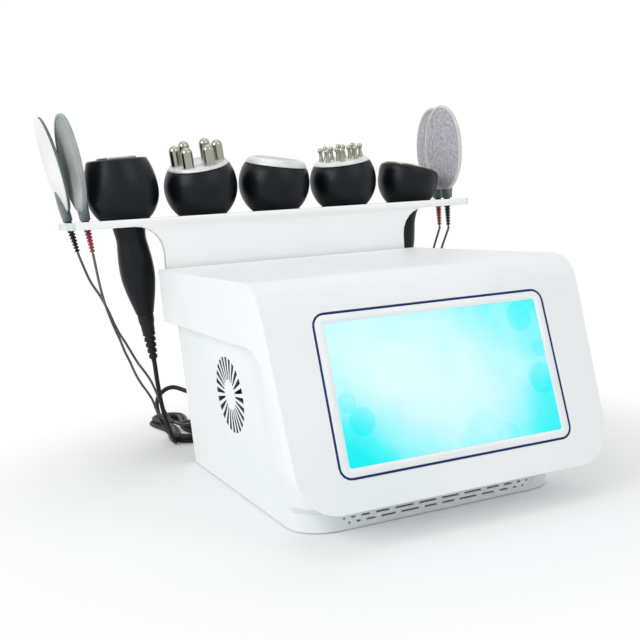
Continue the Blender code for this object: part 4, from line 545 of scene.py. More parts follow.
def plug_profile(nose, radius, length, tail, tail_length, face, root, rings=5):
    """Body with a knurled grip and a ribbed tail, as radius and distance from the panel."""
    grip = [(radius - 0.5 * (k % 2), face + 3 + k * 1.1) for k in range(int((length - 6) / 1.1))]
    end, pitch = face + length, tail_length / rings
    ribs = []
    for k in range(rings):
        z, r = end + tail_length * k / rings, radius * 0.72 + (tail - radius * 0.72) * k / (rings - 1)
        ribs += [(r, z + 0.2), (r, z + pitch * 0.6), (r - 0.7, z + pitch * 0.75)]
    return [(0, end + tail_length), (ribs[-1][0], end + tail_length), *ribs[::-1][1:],
            (radius * 0.9, end), (radius, end - 1), *grip[::-1], (radius, face + 0.8),
            (radius - 0.8, face), (nose, face), (nose, root), (0, root)]


line = plug_profile(5.1, 8, PLUG_LENGTH, 3.6, PLUG_TAIL, PLUG_FACE, -0.1)
plug = turned("handpiece_plug", line, standing_back(SOCKET, SOCKET_HEIGHT), 48)
finish_piece(plug, BLACK_PVC, "cabinet", ("cavitation_plug",), 30)
jacks = {}
line = plug_profile(1.8, 5.2, JACK_LENGTH, 4.2, JACK_TAIL, JACK_FACE, 0.3, 2)
for side, x in JACK.items():
    jacks[side] = turned("pad_jack_" + side, line, standing_back(x, JACK_HEIGHT), 40)
    finish_piece(jacks[side], BLACK_PVC, "cabinet", ("pad_plug_" + side,), 30)
print("one handpiece plug and", len(jacks), "pad jacks")


# %% The cords themselves
def cord(name, line, diameter, mat, nodes):
    """A curve through the line's points in mm, with a round bevel."""
    points = world(line)
    curve = bpy.data.curves.new(name, "CURVE")
    curve.dimensions, curve.use_fill_caps = "3D", True
    curve.bevel_depth, curve.bevel_resolution = diameter * MM / 2, 4
    spline = curve.splines.new("POLY")
    spline.points.add(len(points) - 1)
    spline.points.foreach_set("co", np.c_[points, np.ones(len(points))].ravel())
    spline.use_smooth = True
    curve.materials.append(mat)
    obj = show(name, curve)
    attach(obj, "cabinet")
    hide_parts(*nodes)
    return obj


def below(home, depth, more):
    """Two points on a frame's own axis, at a depth below its origin and a little further down."""
    to_back = np.array(HOME.inverted() @ home)
    return [(to_back @ np.array([0, 0, -d * MM, 1]))[:3] / MM for d in (depth, depth + more)]


BOOT_LENGTH, LEAD_APART = 36, 1.8    # a pad's strain relief, and half the distance of two leads in a jack
along_y = np.array([0, 1, 0])
plug_end = PLUG_FACE + PLUG_LENGTH + PLUG_TAIL + GAP
head_end = below(HEAD_HOME["cavitation"], SLEEVE_END + GAP, CORD)
first = curve_through([head_end[1], *CORD_ROUTE, HANK[0] - along_y * (GAP + CORD)])
tail = curve_through([HANK[-1] + along_y * (GAP + CORD), *TAIL_ROUTE,
                      np.array([SOCKET, plug_end + CORD, SOCKET_HEIGHT])])
line = np.vstack([head_end[0], even(first, 3), even(HANK, 3.2), even(tail, 3),
                  (SOCKET, plug_end, SOCKET_HEIGHT)])
cord("handpiece_cord", line, CORD, CORD_PVC, ("cavitation_cord", "cavitation_hank", "cavitation_tail"))
jack_end = JACK_FACE + JACK_LENGTH + JACK_TAIL + GAP
for name, route in LEAD_ROUTES.items():
    side, row = name.split("_")
    x = JACK[side] + (LEAD_APART if row == "front" else -LEAD_APART)
    start = below(PAD_HOME[name], BOOT_LENGTH + GAP, LEAD)
    middle = curve_through([start[1], *route, (x, jack_end + LEAD, JACK_HEIGHT)])
    line = np.vstack([start[0], even(middle, 3), (x, jack_end, JACK_HEIGHT)])
    cord("lead_" + name, line, LEAD, LEAD_PVC, ("pad_lead_" + name,))

# %% [markdown]
# ## Handpieces
# Each handpiece is one shape of revolution: a ball cut off flat at the top, and a handle that narrows
# below the ball, swells in the palm and tapers to its end. A turned profile gives it in one surface.
# Where the ball's top is slanted, the upper half is sheared: every point sinks by x tan(slant) z/top.


# %% Heads and handles
NECK_RADIUS, SLIMMER = 19, 0.992
# the handle's widths and their places, as shares of its radius and of its length
HANDLE_WIDTHS = ((0.93, 0.107), (0.87, 0.214), (0.93, 0.321), (1, 0.446), (0.995, 0.61), (0.85, 0.768),
                 (0.65, 0.911), (0.52, 1))
BOWL_RADIUS, BOWL_DEPTH, BOWL_LIP = 30.3, 5.5, 5.2


def head_line(radius, top, stretch, handle):
    """Arc of an ellipse from the rim to the equator, arc of a circle down to the neck, then a smooth line
    through the handle's widths. The ball is 0.8 % slimmer than the flat-sided solid at its corners. A bowl
    has the depth (r / its radius)^2 and a rounded lip."""
    upper = radius * stretch
    a = np.linspace(math.asin(top / upper), 0, 24)
    dome = np.stack([radius * np.cos(a), upper * np.sin(a)], 1)
    b = np.linspace(0, math.acos(NECK_RADIUS / radius), 24)[1:]
    ball = np.stack([radius * np.cos(b), -radius * np.sin(b)], 1)
    dome[:, 0] *= SLIMMER
    ball[:, 0] *= SLIMMER
    shelf = -ball_rise(radius)
    widths = [(handle * r, shelf - HANDLE_LENGTH * d) for r, d in HANDLE_WIDTHS]
    grip = curve_through([(ball[-1][0], ball[-1][1])] + widths, 6)
    rim = dome[0][0]
    lip = [(0, top - 0.4), (rim - 5, top - 0.4), (rim - 4.6, top), (rim - 2.4, top), (rim - 1.1, top - 0.3)]
    if stretch > 1.8:
        dome = dome[dome[:, 1] < top - 6]
        bowl = [(r, top - BOWL_DEPTH + BOWL_DEPTH * (r / BOWL_RADIUS) ** 2)
                for r in np.linspace(0, BOWL_RADIUS, 14)]
        lip = [*bowl, (30.6, top), (33.2, top), *bow((33.2, top - BOWL_LIP), BOWL_LIP, 86, 6, 10)]
    tip = [(grip[-1][0], grip[-1][1]), (grip[-1][0] - 0.8, grip[-1][1]), (0, grip[-1][1])]
    return np.vstack([lip, dome[1:], ball, grip[1:], tip])


def slanted(obj, home, top, slant):
    """Shears the upper half in the head's own frame: z falls by x tan(slant) max(z, 0) / top."""
    p = within(points_of(obj.data), home)
    p[:, 2] -= p[:, 0] * math.tan(math.radians(slant)) * np.maximum(p[:, 2], 0) / (top * MM)
    obj.data.vertices.foreach_set("co", world(p / MM, home).ravel())
    obj.data.update()


def sleeve_line(radius):
    """The sleeve on the handle's end, as radius and height: a smooth collar and ribs that get thinner."""
    z = -ball_rise(radius) - HANDLE_LENGTH - GAP
    line = [(0, z), (9.0, z), (9.4, z - 0.5), (9.2, z - 9), (7.9, z - 14), (7.6, z - 21), (7.2, z - COLLAR)]
    z -= COLLAR
    for k in range(RIBS):
        r = 7.4 - 2.4 * k / (RIBS - 1)
        line += [(r - 0.5, z), (r, z - 0.7), (r, z - 4.0), (r - 0.4, z - 4.5), (r - 1.9, z - 4.7),
                 (r - 1.9, z - RIB_PITCH + 0.1)]
        z -= RIB_PITCH
    return line + [(2.8, z), (0, z)]


for name, head in HEADS.items():
    body, home = name + "_handpiece", HEAD_HOME[name]
    line = head_line(head.radius, head.top, head.stretch, head.handle)
    shell = turned(name + "_body", line, home, 128)
    slanted(shell, home, head.top, head.slant)
    finish_piece(shell, BLACK_ABS, body, (name + "_shell",), 30)
    sleeve = turned(name + "_sleeve", sleeve_line(head.radius), home, 48)
    finish_piece(sleeve, BLACK_PVC, body, (name + "_gland",), 35)
print(len(HEADS), "heads with their sleeves")

# %% [markdown]
# ## Working faces
# The five heads differ in what touches the skin. The first has a flat chrome face with a raised rim, the
# second six tall chrome poles on a pale plate, the third a polished steel disc in a pale ring, the fourth
# twelve ball-ended pins, and the fifth a shallow black bowl in a thin chrome ring. All are turned parts,
# so they are turned here too, each in its head's own frame.


# %% Turned faces
PLATE_INSET = 0.8    # from the head's rim to the edge of its plate


def plate_radius(name):
    """The plate in a head's cut top: radius cos(arcsin(top / (radius stretch))), less the inset."""
    head = HEADS[name]
    return head.radius * math.cos(math.asin(head.top / (head.radius * head.stretch))) - PLATE_INSET


def seat(name):
    """The frame on a head's top, leant by its slant."""
    head = HEADS[name]
    lean = Matrix.Rotation(math.radians(head.slant), 4, "Y")
    return HEAD_HOME[name] @ Matrix.Translation((0, 0, head.top * MM)) @ lean


def turned_face(name, head, profile, mat, node, sharp, sides=128):
    """A turned piece on a head's top, in place of one node."""
    return finish_piece(turned(name, profile, seat(head), sides), mat, head + "_handpiece", (node,),
                        sharp)


face = [(0, 1.5), (15, 1.5), (16, 1.7), (18.5, 1.7), (19, 2.2), (22.4, 2.2), (23.2, 1.6), (23.3, 0.3),
        (0, 0.3)]
turned_face("cavitation_plate", "cavitation", face, CHROME, "cavitation_face", 20, 96)
rim = plate_radius("six_pole")
plate = [(0, 3.8), (rim - 2.6, 3.8), (rim - 1.2, 3.3), (rim - 0.2, 1.9), (rim, 1.2), (rim, 0.3), (0, 0.3)]
turned_face("six_pole_plate", "six_pole", plate, PALE_ABS, "six_pole_electrodes", 30)
rim = plate_radius("flat_head")
ring = [(27.5, 7.6), (28.1, 8.3), (rim - 6.2, 8.3), (rim - 3.0, 6.4), (rim - 0.8, 3.6), (rim, 1.6),
        (rim, 0.3), (27.5, 0.3), (27.5, 7.6)]
turned_face("flat_head_collar", "flat_head", ring, PALE_ABS, "flat_head_rim", 40)
disc = [(0, 8.8), (14, 8.65), (22, 8.35), (26.4, 8.1), (27.2, 7.5), (27.2, 0.3), (0, 0.3)]
turned_face("flat_head_disc", "flat_head", disc, STEEL, "flat_head_plate", 30)
rim = plate_radius("ball_pin")
plate = [(0, 4.8), (rim - 4.4, 4.8), (rim - 2.6, 4.1), (rim - 0.9, 2.6), (rim, 1.2), (rim, 0.3), (0, 0.3)]
turned_face("ball_pin_plate", "ball_pin", plate, PALE_ABS, "ball_pin_electrodes", 30)
hoop = [(30.5, 0.9), (30.9, 1.7), (31.7, 1.9), (32.6, 1.6), (33, 0.8), (33, 0.3), (30.5, 0.3), (30.5, 0.9)]
turned_face("bowl_head_hoop", "bowl_head", hoop, CHROME, "bowl_head_ring", 40)
print("plates, rings and discs of five heads")


# %% Poles and pins
def on_circle(home, count, reach, start):
    """Frames at even angles on a circle of some mm round a frame's Z."""
    angles = start + np.arange(count) * 2 * np.pi / count
    return [home @ Matrix.Translation((reach * MM * math.cos(a), reach * MM * math.sin(a), 0))
            for a in angles]


POLE_RADIUS, POLE_SHOULDER = 6.7, 21.0
crown = [(POLE_RADIUS * math.sin(t), POLE_SHOULDER + POLE_RADIUS * math.cos(t))
         for t in np.linspace(0, np.pi / 2, 12)]
pole = [*crown, (6.7, 4.6), (7.2, 4.2), (7.2, 3.7), (0, 3.7)]
copies("six_poles", pole, on_circle(seat("six_pole"), 6, 25, math.radians(-14.5)), CHROME,
       "six_pole_handpiece", ("six_pole_electrodes",))
PIN_RADIUS, PIN_HEIGHT = 3.4, 18.1
ball = [(PIN_RADIUS * math.sin(t), PIN_HEIGHT + PIN_RADIUS * math.cos(t))
        for t in np.linspace(0, math.radians(140), 12)]
pin = [*ball, (2.1, 14.6), (2.0, 13.6), (2.2, 11.5), (2.6, 8.5), (3.1, 6.0), (3.3, 4.7), (0, 4.7)]
for count, reach, name in ((8, 25, "outer"), (4, 12, "inner")):
    copies("ball_pins_" + name, pin, on_circle(seat("ball_pin"), count, reach, math.pi / count), CHROME,
           "ball_pin_handpiece", ("ball_pin_electrodes",), 20)
print("six poles and twelve pins")

# %% [markdown]
# ## Electrode pads
# A pad is an oval dish, 64 by 112 mm, that stands on its edge. It has a swelling back, a rim round the
# front and a conductive face in the rim. Below it a leaf-shaped neck of smoky PVC grips the dish, and a
# ribbed relief in red or black leads its cord through the shelf. The dish is turned about its own middle
# and squeezed to its oval, and the neck is a row of rounded rings.


# %% Dish and face
PAD_MIDDLE, DISH_DEPTH = 67, 9.0             # height of the dish's middle over the shelf, and its depth
DISH, FACE = (32, 56), (27.7, 51.7)          # half width and half height of the dish and of its face


def standing(name):
    """The dish's own frame: its axis lies along the pad frame's X."""
    to_middle = Matrix.Translation(Vector((-DISH_DEPTH / 2, 0, PAD_MIDDLE)) * MM)
    return PAD_HOME[name] @ to_middle @ Matrix.Rotation(math.pi / 2, 4, "Y")


def finish_pad(obj, mat, name, node, sharp):
    """Sets a piece on its pad, in place of one of the pad's three nodes."""
    finish_piece(obj, mat, "pad_" + name, ("pad_" + name + "_" + node,), sharp)


def dish(name, mat, rim):
    """Radius and depth: the back swells as 1 - t^2.15 to its edge, the edge is a half round and the front
    is a rim. A rim of another colour is the faces whose middle is less than 3 mm deep."""
    t = np.linspace(0, 1, 14)
    back_line = np.stack([t * 55.2, 4.6 + 4.4 * (1 - t ** 2.15)], 1)
    edge = [(55.4, 4.2), (55.7, 3.85), (55.88, 3.5), (55.88, 0.9), (55.65, 0.35), (55.2, 0.05), (53.2, 0),
            (52.2, 0.3), (52, 1.2), (0, 1.2)]
    line = np.vstack([back_line, edge])
    obj = turned("dish_" + name, line, standing(name), 96, DISH[0] / DISH[1])
    finish_pad(obj, mat, name, "shell", 35)
    if rim:
        depth = within(faces_of(obj.data)[1], standing(name))[:, 2]
        second_finish(obj, rim, depth < 3.0 * MM)


def cushion(name, mat):
    """A thin cushion that rests in the rim: from its middle to its sewn edge it sinks by 0.55 t^6 mm."""
    t = np.linspace(0, 1, 16)
    top = np.stack([t * FACE[1], 0.55 * t ** 6], 1)
    line = np.vstack([top, [(FACE[1], 0.9), (0, 0.9)]])
    obj = turned("face_" + name, line, standing(name), 96, FACE[0] / FACE[1])
    finish_pad(obj, mat, name, "face", 50)


# %% Neck and strain relief
def oval_rings(levels, power=2.6, sides=40):
    """Rings of a rounded bar: each is the superellipse |x/a|^power + |y/b|^power = 1 at its own height."""
    z, a, b = np.asarray(levels, float).T
    t = np.linspace(0, 2 * np.pi, sides, endpoint=False)
    c, s = (np.sign(wave) * np.abs(wave) ** (2 / power) for wave in (np.cos(t), np.sin(t)))
    return np.stack([np.outer(a, c), np.outer(b, s), np.outer(z, np.ones(sides))], -1)


def neck(name):
    """Height, half thickness, half width and shift of each ring. The neck grips the dish's lower edge, and
    its leaf goes up the back only, so above the edge the rings are thinner and moved backwards."""
    levels = np.array([
        (1.4, 0, 0, 0), (1.4, 4.7, 6.6, 0), (2.1, 5.3, 7.2, 0), (8, 5.5, 8.2, 0), (12.6, 5.5, 8.9, 0),
        (13.6, 5.1, 9.0, 0.4), (14.4, 4.2, 9.0, 1.3), (20, 3.9, 8.7, 1.6), (26, 3.9, 7.4, 1.6),
        (31, 3.8, 5.5, 1.5), (35, 3.6, 3.2, 1.4), (37.3, 3.4, 1.2, 1.3), (38, 3.2, 0, 1.2)])
    rings = oval_rings(levels[:, :3])
    rings[..., 0] += levels[:, 3:]
    obj = skin("neck_" + name, world(rings, PAD_HOME[name]))
    finish_pad(obj, NECK_PVC, name, "boot", 50)


def relief(name, mat, rings=7, pitch=3.85):
    """Rings that thin from 4 to 2.8 mm on a slimmer core, from the shelf's top to 36 mm below it."""
    line = [(0, 4.4), (4, 4.4), (4, -9)]
    z = -9.0
    for k in range(rings):
        r = 4 - 1.2 * k / (rings - 1)
        line += [(r - 0.3, z - 0.1), (r, z - 0.6), (r, z - 1.9), (r - 0.3, z - 2.3), (r - 1.5, z - 2.5),
                 (r - 1.5, z - pitch + 0.1)]
        z -= pitch
    obj = turned("relief_" + name, [*line, (1.3, z), (0, z)], PAD_HOME[name], 32)
    finish_pad(obj, mat, name, "boot", 40)


# %% Four pads: shell, rim where it has another colour, face, strain relief
PADS = {"left_rear": (WHITE_SHELL, NECK_PVC, GRAPHITE, BLACK_PVC),
        "left_front": (SMOKE_ABS, None, GRAPHITE, RED_PVC),
        "right_front": (GREY_ABS, None, FABRIC, BLACK_PVC),
        "right_rear": (GREY_ABS, None, FABRIC, RED_PVC)}
for name, (shell, rim, face, boot) in PADS.items():
    dish(name, shell, rim)
    cushion(name, face)
    neck(name)
    relief(name, boot)
print(len(PADS), "pads")

# %% [markdown]
# ## Cabinet and holder
# The hood, the lower housing, the back panel and the holder have the right shape already. What a
# moulding has and a drawn solid lacks is a rounded edge that catches the light. So each is copied, its
# loose triangles are merged, and a narrow bevel rounds every edge sharper than 30 degrees.


# %% Copies with rounded edges
def rounded_copy(name, node, mat, bevel, even_light=False):
    """A merged copy of a node on the same body, with a bevel of some mm on its sharp edges. Normals
    weighted by area keep large moulded faces plain beside their narrow neighbours."""
    source, sharp = NODES[node], math.radians(30)
    mesh = source.data.copy()
    weld(mesh, outward=False, reach=2e-6)
    mesh.shade_smooth()
    mesh.set_sharp_from_angle(angle=sharp)
    obj = show(name, mesh)
    mesh.materials.clear()
    mesh.materials.append(mat)
    if bevel:
        rounding = obj.modifiers.new("rounded_edges", "BEVEL")
        rounding.width, rounding.segments = bevel * MM, 2
        rounding.limit_method, rounding.angle_limit = "ANGLE", sharp
        rounding.use_clamp_overlap, rounding.harden_normals = True, True
    if even_light:
        weighting = obj.modifiers.new("weighted_normals", "WEIGHTED_NORMAL")
        weighting.keep_sharp, weighting.weight = True, 100
    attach(obj, body_of(source)[0])
    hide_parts(node)
    return obj


rounded_copy("moulded_hood", "hood", WHITE_ABS, 0.5, even_light=True)
base = rounded_copy("moulded_base", "base_shell", WHITE_ABS, 0.4, even_light=True)
rounded_copy("rear_panel", "back_panel", SHEET_STEEL, 0.3)
holder = rounded_copy("acrylic_holder", "holder", ACRYLIC, 0.6)
for node, mat, bevel in (
        ("base_plate", STEEL, 0.2), ("holder_bolt_left", STEEL, 0.3), ("holder_bolt_right", STEEL, 0.3),
        ("mains_inlet", BLACK_ABS, 0.3), ("power_rocker", BLACK_ABS, 0.3), ("fan_frame", MODULE, 0.2),
        ("fan_rotor", MODULE, 0), ("connector_board", STEEL, 0.15), ("power_supply", STEEL, 0.3),
        ("control_board", BOARD, 0), ("driver_board", BOARD, 0), ("display_module", MODULE, 0.2)):
    rounded_copy("dressed_" + node, node, mat, bevel)
for corner in ("front_left", "front_right", "rear_left", "rear_right"):
    rounded_copy("rubber_foot_" + corner, "foot_" + corner, RUBBER, 0.6)
print("hood, base, back, holder and all other solids dressed")

# %% [markdown]
# ## Vents, grille and sawn edges
# The two rows of slots in the front lie low, so both are moved down and made a little lower. The walls of
# the side grille's slots are white, but they lie in the shade of the dark fan behind them, and that shade
# is painted into them as a dark grey. In the holder the light turns green where the sheet was cut, so its
# cut faces are told from its flat ones by their direction: in the shelf the flat faces look up and down, in
# the tongue to the front and back.

# %% Slots and cut faces
VENT_FRONT, VENT_REACH, VENT_SQUEEZE = 296, 125, 0.8
VENT_ROWS = ((9.1, 6.8), (14.1, 11.5))       # height of a row's middle, before and after
GRILLE, GRILLE_RADIUS, WALL_SIDE = (157, 106.5), 40, 135
SHEET, HALF, STRAIGHT = 8.6, 0.5, 0.9        # the shelf's sheet with its edge, and limits for a normal
co = points_of(base.data)
on_front = (co[:, 1] < BACK - VENT_FRONT * MM) & (np.abs(co[:, 0] - MIDDLE) < VENT_REACH * MM)
for middle, lowered in VENT_ROWS:
    row = on_front & (np.abs(co[:, 2] - middle * MM) < 1.2 * MM)
    co[row, 2] = lowered * MM + VENT_SQUEEZE * (co[row, 2] - middle * MM)
base.data.vertices.foreach_set("co", co.ravel())
normal, centre = faces_of(base.data)
reach = np.hypot(centre[:, 1] - BACK + GRILLE[0] * MM, centre[:, 2] - GRILLE[1] * MM)
on_side = (reach < GRILLE_RADIUS * MM) & (centre[:, 0] < MIDDLE - WALL_SIDE * MM)
# painted shade: the sideways-facing walls inside the grille get the dark grey in place of the fan's shade
painted_slot_shade = on_side & (np.abs(normal[:, 0]) < 0.6)
second_finish(base, SLOT_PAINTED_SHADE, painted_slot_shade)
normal, centre = faces_of(holder.data)
in_shelf = centre[:, 2] > (SHELF - SHEET) * MM
cut = np.where(in_shelf, np.abs(normal[:, 2]) < HALF, np.abs(normal[:, 1]) < HALF)
cut &= ~(in_shelf & (np.abs(normal[:, 1]) > STRAIGHT))
second_finish(holder, ACRYLIC_EDGE, cut)
print(int(painted_slot_shade.sum()), "faces of slot wall,", int(cut.sum()), "faces of sawn edge")

# %% [markdown]
# ## Screen
# The touch glass is printed white on its back, with a clear window over the lit panel. A thin navy line
# runs round it in the groove. The border and the navy line are flat rings between two rounded
# rectangles with the same number of points, so each ring of the grid is one outline.

# %% Navy line, white border and lit window
TOP_DEPTH, HOOD_HEIGHT = 302, 228
LEAN = math.degrees(math.atan2(60, 194))     # the sloping front goes back by 60 mm over 194 mm
DOWN = 103.6                                 # from the hood's front edge down the slope to the middle
WINDOW = (222.4, 125.9)
PANEL = place(0, -TOP_DEPTH - DOWN * math.sin(math.radians(LEAN)),
              HOOD_HEIGHT - DOWN * math.cos(math.radians(LEAN)), 90 - LEAN)


def flat_ring(name, outer, inner, low, high, edge, mat, node):
    """Outlines as (width, height, radius): inner wall, front with rounded edges, outer wall, back."""
    def loop(size, inset, z):
        """One outline, set in by some mm, at a height."""
        line = round_outline(size[0] - 2 * inset, size[1] - 2 * inset, max(size[2] - inset, 0.2))
        return np.c_[line, np.full(len(line), z)]
    rings = [loop(inner, 0, low), loop(inner, 0, high - edge), loop(inner, -edge * 0.3, high - edge * 0.3),
             loop(inner, -edge, high), loop(outer, edge, high), loop(outer, edge * 0.3, high - edge * 0.3),
             loop(outer, 0, high - edge), loop(outer, 0, low), loop(inner, 0, low)]
    return finish_piece(skin(name, world(np.array(rings), PANEL)), mat, "cabinet", (node,), 50)


NAVY = grained("navy_silk_screen_ink", "0A2468", 0.4, (0.0006, 0.00001, 0.04), 0.02, "081F5C", "0E2B74",
               Specular_IOR_Level=0.2)
PRINTED = grained("white_back_printed_glass", "EFF3F4", 0.1, (0.02, 0.00001, 0.02), 0.1, "EBF0F2", "F3F6F7",
                  IOR=1.52)
flat_ring("navy_line", (242.9, 144.9, 11.7), (239.5, 141.5, 10), -1.5, 0, 0.25, NAVY,
          "screen_trim")
flat_ring("glass_border", (238.9, 140.9, 9.7), (222.5, 126, 2.2), -1.5, 0, 0.15, PRINTED,
          "touch_glass")
outline = round_outline(*WINDOW, 2.1)
rings = [np.c_[outline * share, np.full(len(outline), z)]
         for share, z in ((0, -0.2), (1, -0.2), (1, -1.5), (0, -1.5))]
window = skin("lit_window", world(np.array(rings), PANEL))
print("line and border round a window of", WINDOW, "mm")

# %% [markdown]
# ## The lit picture
# The panel shows a pale cyan picture. Its middle is almost white and its lower corners are deep cyan. On
# it lie soft round drops, a generic design. The picture follows the glass, so the window has
# its own UV map, and each drop is a distance from a point on that map turned into a soft-edged disc.

# %% Picture of light
LIT = material("lit_display_panel", "030C0D", 0.12, Specular_IOR_Level=0.2, Emission_Strength=1.0)


def flat_uv(obj, home, size):
    """UV = the point's place on the panel, from -0.5 to 0.5 of its width and height, plus 0.5."""
    uv = within(points_of(obj.data), home)[:, :2] / np.array(size) / MM + 0.5
    index = np.empty(len(obj.data.loops), np.int32)
    obj.data.loops.foreach_get("vertex_index", index)
    obj.data.uv_layers.new(name="panel").data.foreach_set("uv", uv[index].ravel())


def disc_at(x, y, size, strength, solid):
    """A round patch on the map: its full strength up to a share of its radius, then soft to nothing."""
    far = add(LIT, "VectorMath", {1: (x, y, 0)}, {0: (wide, "Vector")}, operation="DISTANCE")
    limits = {"From Min": size * solid, "From Max": size, "To Min": strength, "To Max": 0.0}
    return add(LIT, "MapRange", limits, {"Value": (far, "Value")}, interpolation_type="SMOOTHSTEP")


flat_uv(window, PANEL, WINDOW)
spot = add(LIT, "TexCoord")
wide = add(LIT, "Mapping", {"Scale": (1.766, 1, 1)}, {"Vector": (spot, "UV")})
# distance from the bright middle, which is a long ellipse turned by 25 degrees
slant = add(LIT, "Mapping", {"Location": (-0.66, -0.58, 0)}, {"Vector": (wide, "Vector")})
slant = add(LIT, "Mapping", {"Rotation": (0, 0, math.radians(25))}, {"Vector": (slant, "Vector")})
slant = add(LIT, "Mapping", {"Scale": (0.4, 0.95, 0)}, {"Vector": (slant, "Vector")})
reach = add(LIT, "VectorMath", links={0: (slant, "Vector")}, operation="LENGTH")
cloud = add(LIT, "TexNoise", {"Scale": 2.6, "Detail": 3.0, "Roughness": 0.5}, {"Vector": (wide, "Vector")})
drift = add(LIT, "Math", {1: 0.5, 2: -0.25}, {0: (cloud, "Fac")}, operation="MULTIPLY_ADD")
depth = add(LIT, "Math", links={0: (reach, "Value"), 1: (drift, "Value")}, operation="ADD")
# eight drops with soft rims, and then two corners that deepen slowly: x, y, radius, strength
DROPS = ((0.07, 0.44, 0.08, 0.12), (0.16, 0.30, 0.11, 0.14), (1.10, 0.08, 0.17, 0.09),
         (1.30, 0.03, 0.10, 0.09), (0.92, 0.03, 0.07, 0.08), (1.60, 0.88, 0.12, 0.11),
         (1.69, 0.40, 0.13, 0.14), (1.72, 0.62, 0.07, 0.10))
CORNERS = ((0.02, -0.02, 0.6, 0.45), (1.74, 0.05, 0.6, 0.45))
for patches, solid in ((DROPS, 0.8), (CORNERS, 0.0)):
    for patch in patches:
        disc = disc_at(*patch, solid)
        depth = add(LIT, "Math", links={0: (depth, "Value"), 1: (disc, "Result")}, operation="ADD")
ramp = add(LIT, "ValToRGB", links={"Fac": (depth, "Value")}, to=("Emission Color", "Color"))
for element, (at, code) in zip(ramp.color_ramp.elements, ((0.1, "DDFEFF"), (1.0, "08F0F4"))):
    element.position, element.color = at, linear(code)
for at, code in ((0.32, "C6FAFD"), (0.55, "9CF7FB"), (0.78, "4FF4F8")):
    ramp.color_ramp.elements.new(at).color = linear(code)
finish_piece(window, LIT, "cabinet", ("touch_glass",), 40)
print("screen lit, with", len(DROPS), "drops")

# %% [markdown]
# ## Small parts of the back
# The back is closed by six pan-head screws, and each free socket shows four gold contact pins. They are
# small and many, so each kind is one mesh of turned copies.

# %% Screws and contact pins
screw = [(0, 0.5), (1.0, 0.9), (1.2, 1.9), (2.4, 1.7), (3.0, 1.1), (3.2, 0.2), (3.2, -0.2), (0, -0.2)]
screws = [standing_back(x, z) for x, z in ((-130, 14), (130, 14), (-134, 84), (134, 40), (-136, 156),
                                           (136, 156))]
copies("case_screws", screw, screws, STEEL, "cabinet", sides=20, sharp=40)
FREE_SOCKETS, PIN_CIRCLE = range(1, 5), 2.4
pins = [standing_back(SOCKET + SOCKET_PITCH * k + PIN_CIRCLE * math.cos(a),
                      SOCKET_HEIGHT + PIN_CIRCLE * math.sin(a))
        for k in FREE_SOCKETS for a in np.radians((45, 135, 225, 315))]
pin = [(0, 2.4), (0.45, 2.2), (0.6, 1.8), (0.6, -0.6), (0, -0.6)]
copies("contact_pins", pin, pins, GOLD, "cabinet", sides=12, sharp=40)
print(len(screws), "screws,", len(pins), "pins")

# %% [markdown]
# ## Floor and light
# The picture was lit softly from all round, on white. A big soft lamp stands on the left, a weaker one on
# the right front, and one hangs above. The floor is pale and keeps a soft shadow. The backdrop is white
# only for the camera and for reflections, so the light on the object stays plain.

# %% Floor
def seen(owner):
    """1 for what the camera or a reflection sees, and 0 for the light on the object."""
    path = add(owner, "LightPath")
    return add(owner, "Math", links={0: (path, "Is Camera Ray"), 1: (path, "Is Glossy Ray")},
               operation="ADD", use_clamp=True)


FLOOR_EDGE = 8                               # half the floor's width, metres
SHADE_TO, WHITE_FROM, NEAR_SHARE = 0.22, 0.52, 0.06
sheet = bpy.data.meshes.new("floor")
corners = [(x * FLOOR_EDGE, y * FLOOR_EDGE, 0) for x, y in ((-1, -1), (1, -1), (1, 1), (-1, 1))]
sheet.from_pydata(corners, [], [(0, 1, 2, 3)])
floor = show("floor", sheet)
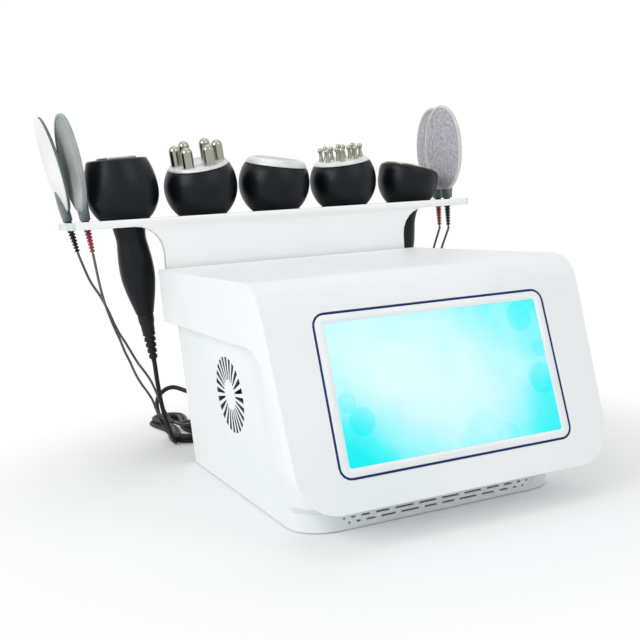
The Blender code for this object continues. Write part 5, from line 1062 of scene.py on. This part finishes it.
# real shade up to 0.22 m from the middle, then it fades to plain white at 0.52 m
FLOOR = material("pale_floor", "F7F8F8", 0.95, Specular_IOR_Level=0.1)
spot = add(FLOOR, "TexCoord")
away = add(FLOOR, "VectorMath", links={0: (spot, "Object")}, operation="LENGTH")
limits = {"From Min": SHADE_TO, "From Max": WHITE_FROM, "To Min": NEAR_SHARE, "To Max": 1.0}
fade = add(FLOOR, "MapRange", limits, {"Value": (away, "Value")}, interpolation_type="SMOOTHSTEP")
fade = add(FLOOR, "Math", links={0: (fade, "Result"), 1: (seen(FLOOR), "Value")}, operation="MULTIPLY")
glow = add(FLOOR, "Emission", {"Strength": 1.0})
tree = FLOOR.node_tree
blend = add(FLOOR, "MixShader", links={"Fac": (fade, "Value"), 1: (tree.nodes["Principled BSDF"], "BSDF"),
                                       2: (glow, "Emission")})
tree.links.new(blend.outputs["Shader"], tree.nodes["Material Output"].inputs["Surface"])
sheet.materials.append(FLOOR)
print("floor", 2 * FLOOR_EDGE, "m wide")

# %% Backdrop and lamps
SOFT = 0.56                                  # strength of the light from all round
studio = bpy.data.worlds.new("studio")
studio.use_nodes = True
tree = studio.node_tree
soft = tree.nodes["Background"]
soft.inputs["Color"].default_value, soft.inputs["Strength"].default_value = (1, 1, 1, 1), SOFT
white = add(studio, "Background", {"Color": (1, 1, 1, 1), "Strength": 1.0})
mix = add(studio, "MixShader", links={"Fac": (seen(studio), "Value"), 1: (soft, "Background"),
                                      2: (white, "Background")})
tree.links.new(mix.outputs["Shader"], tree.nodes["World Output"].inputs["Surface"])
bpy.context.scene.world = studio


def lamp(name, spot, aim, size, power):
    """A square soft lamp at a place in metres, turned towards a point."""
    light = bpy.data.lights.new(name, "AREA")
    light.size, light.energy = size, power
    obj = show(name, light)
    obj.location = spot
    obj.rotation_euler = (Vector(aim) - Vector(spot)).to_track_quat("-Z", "Y").to_euler()


MACHINE = (0, 0, 0.15)
lamp("key", (-2.3, -0.6, 1.35), MACHINE, 1.5, 26.5)
lamp("fill", (0.9, -2.1, 1.7), MACHINE, 1.6, 10.5)
lamp("top", (0, 0.2, 2.2), (0, 0, 0), 1.8, 8)
bpy.context.scene.view_settings.view_transform = "Standard"
print("three lamps and a white backdrop")
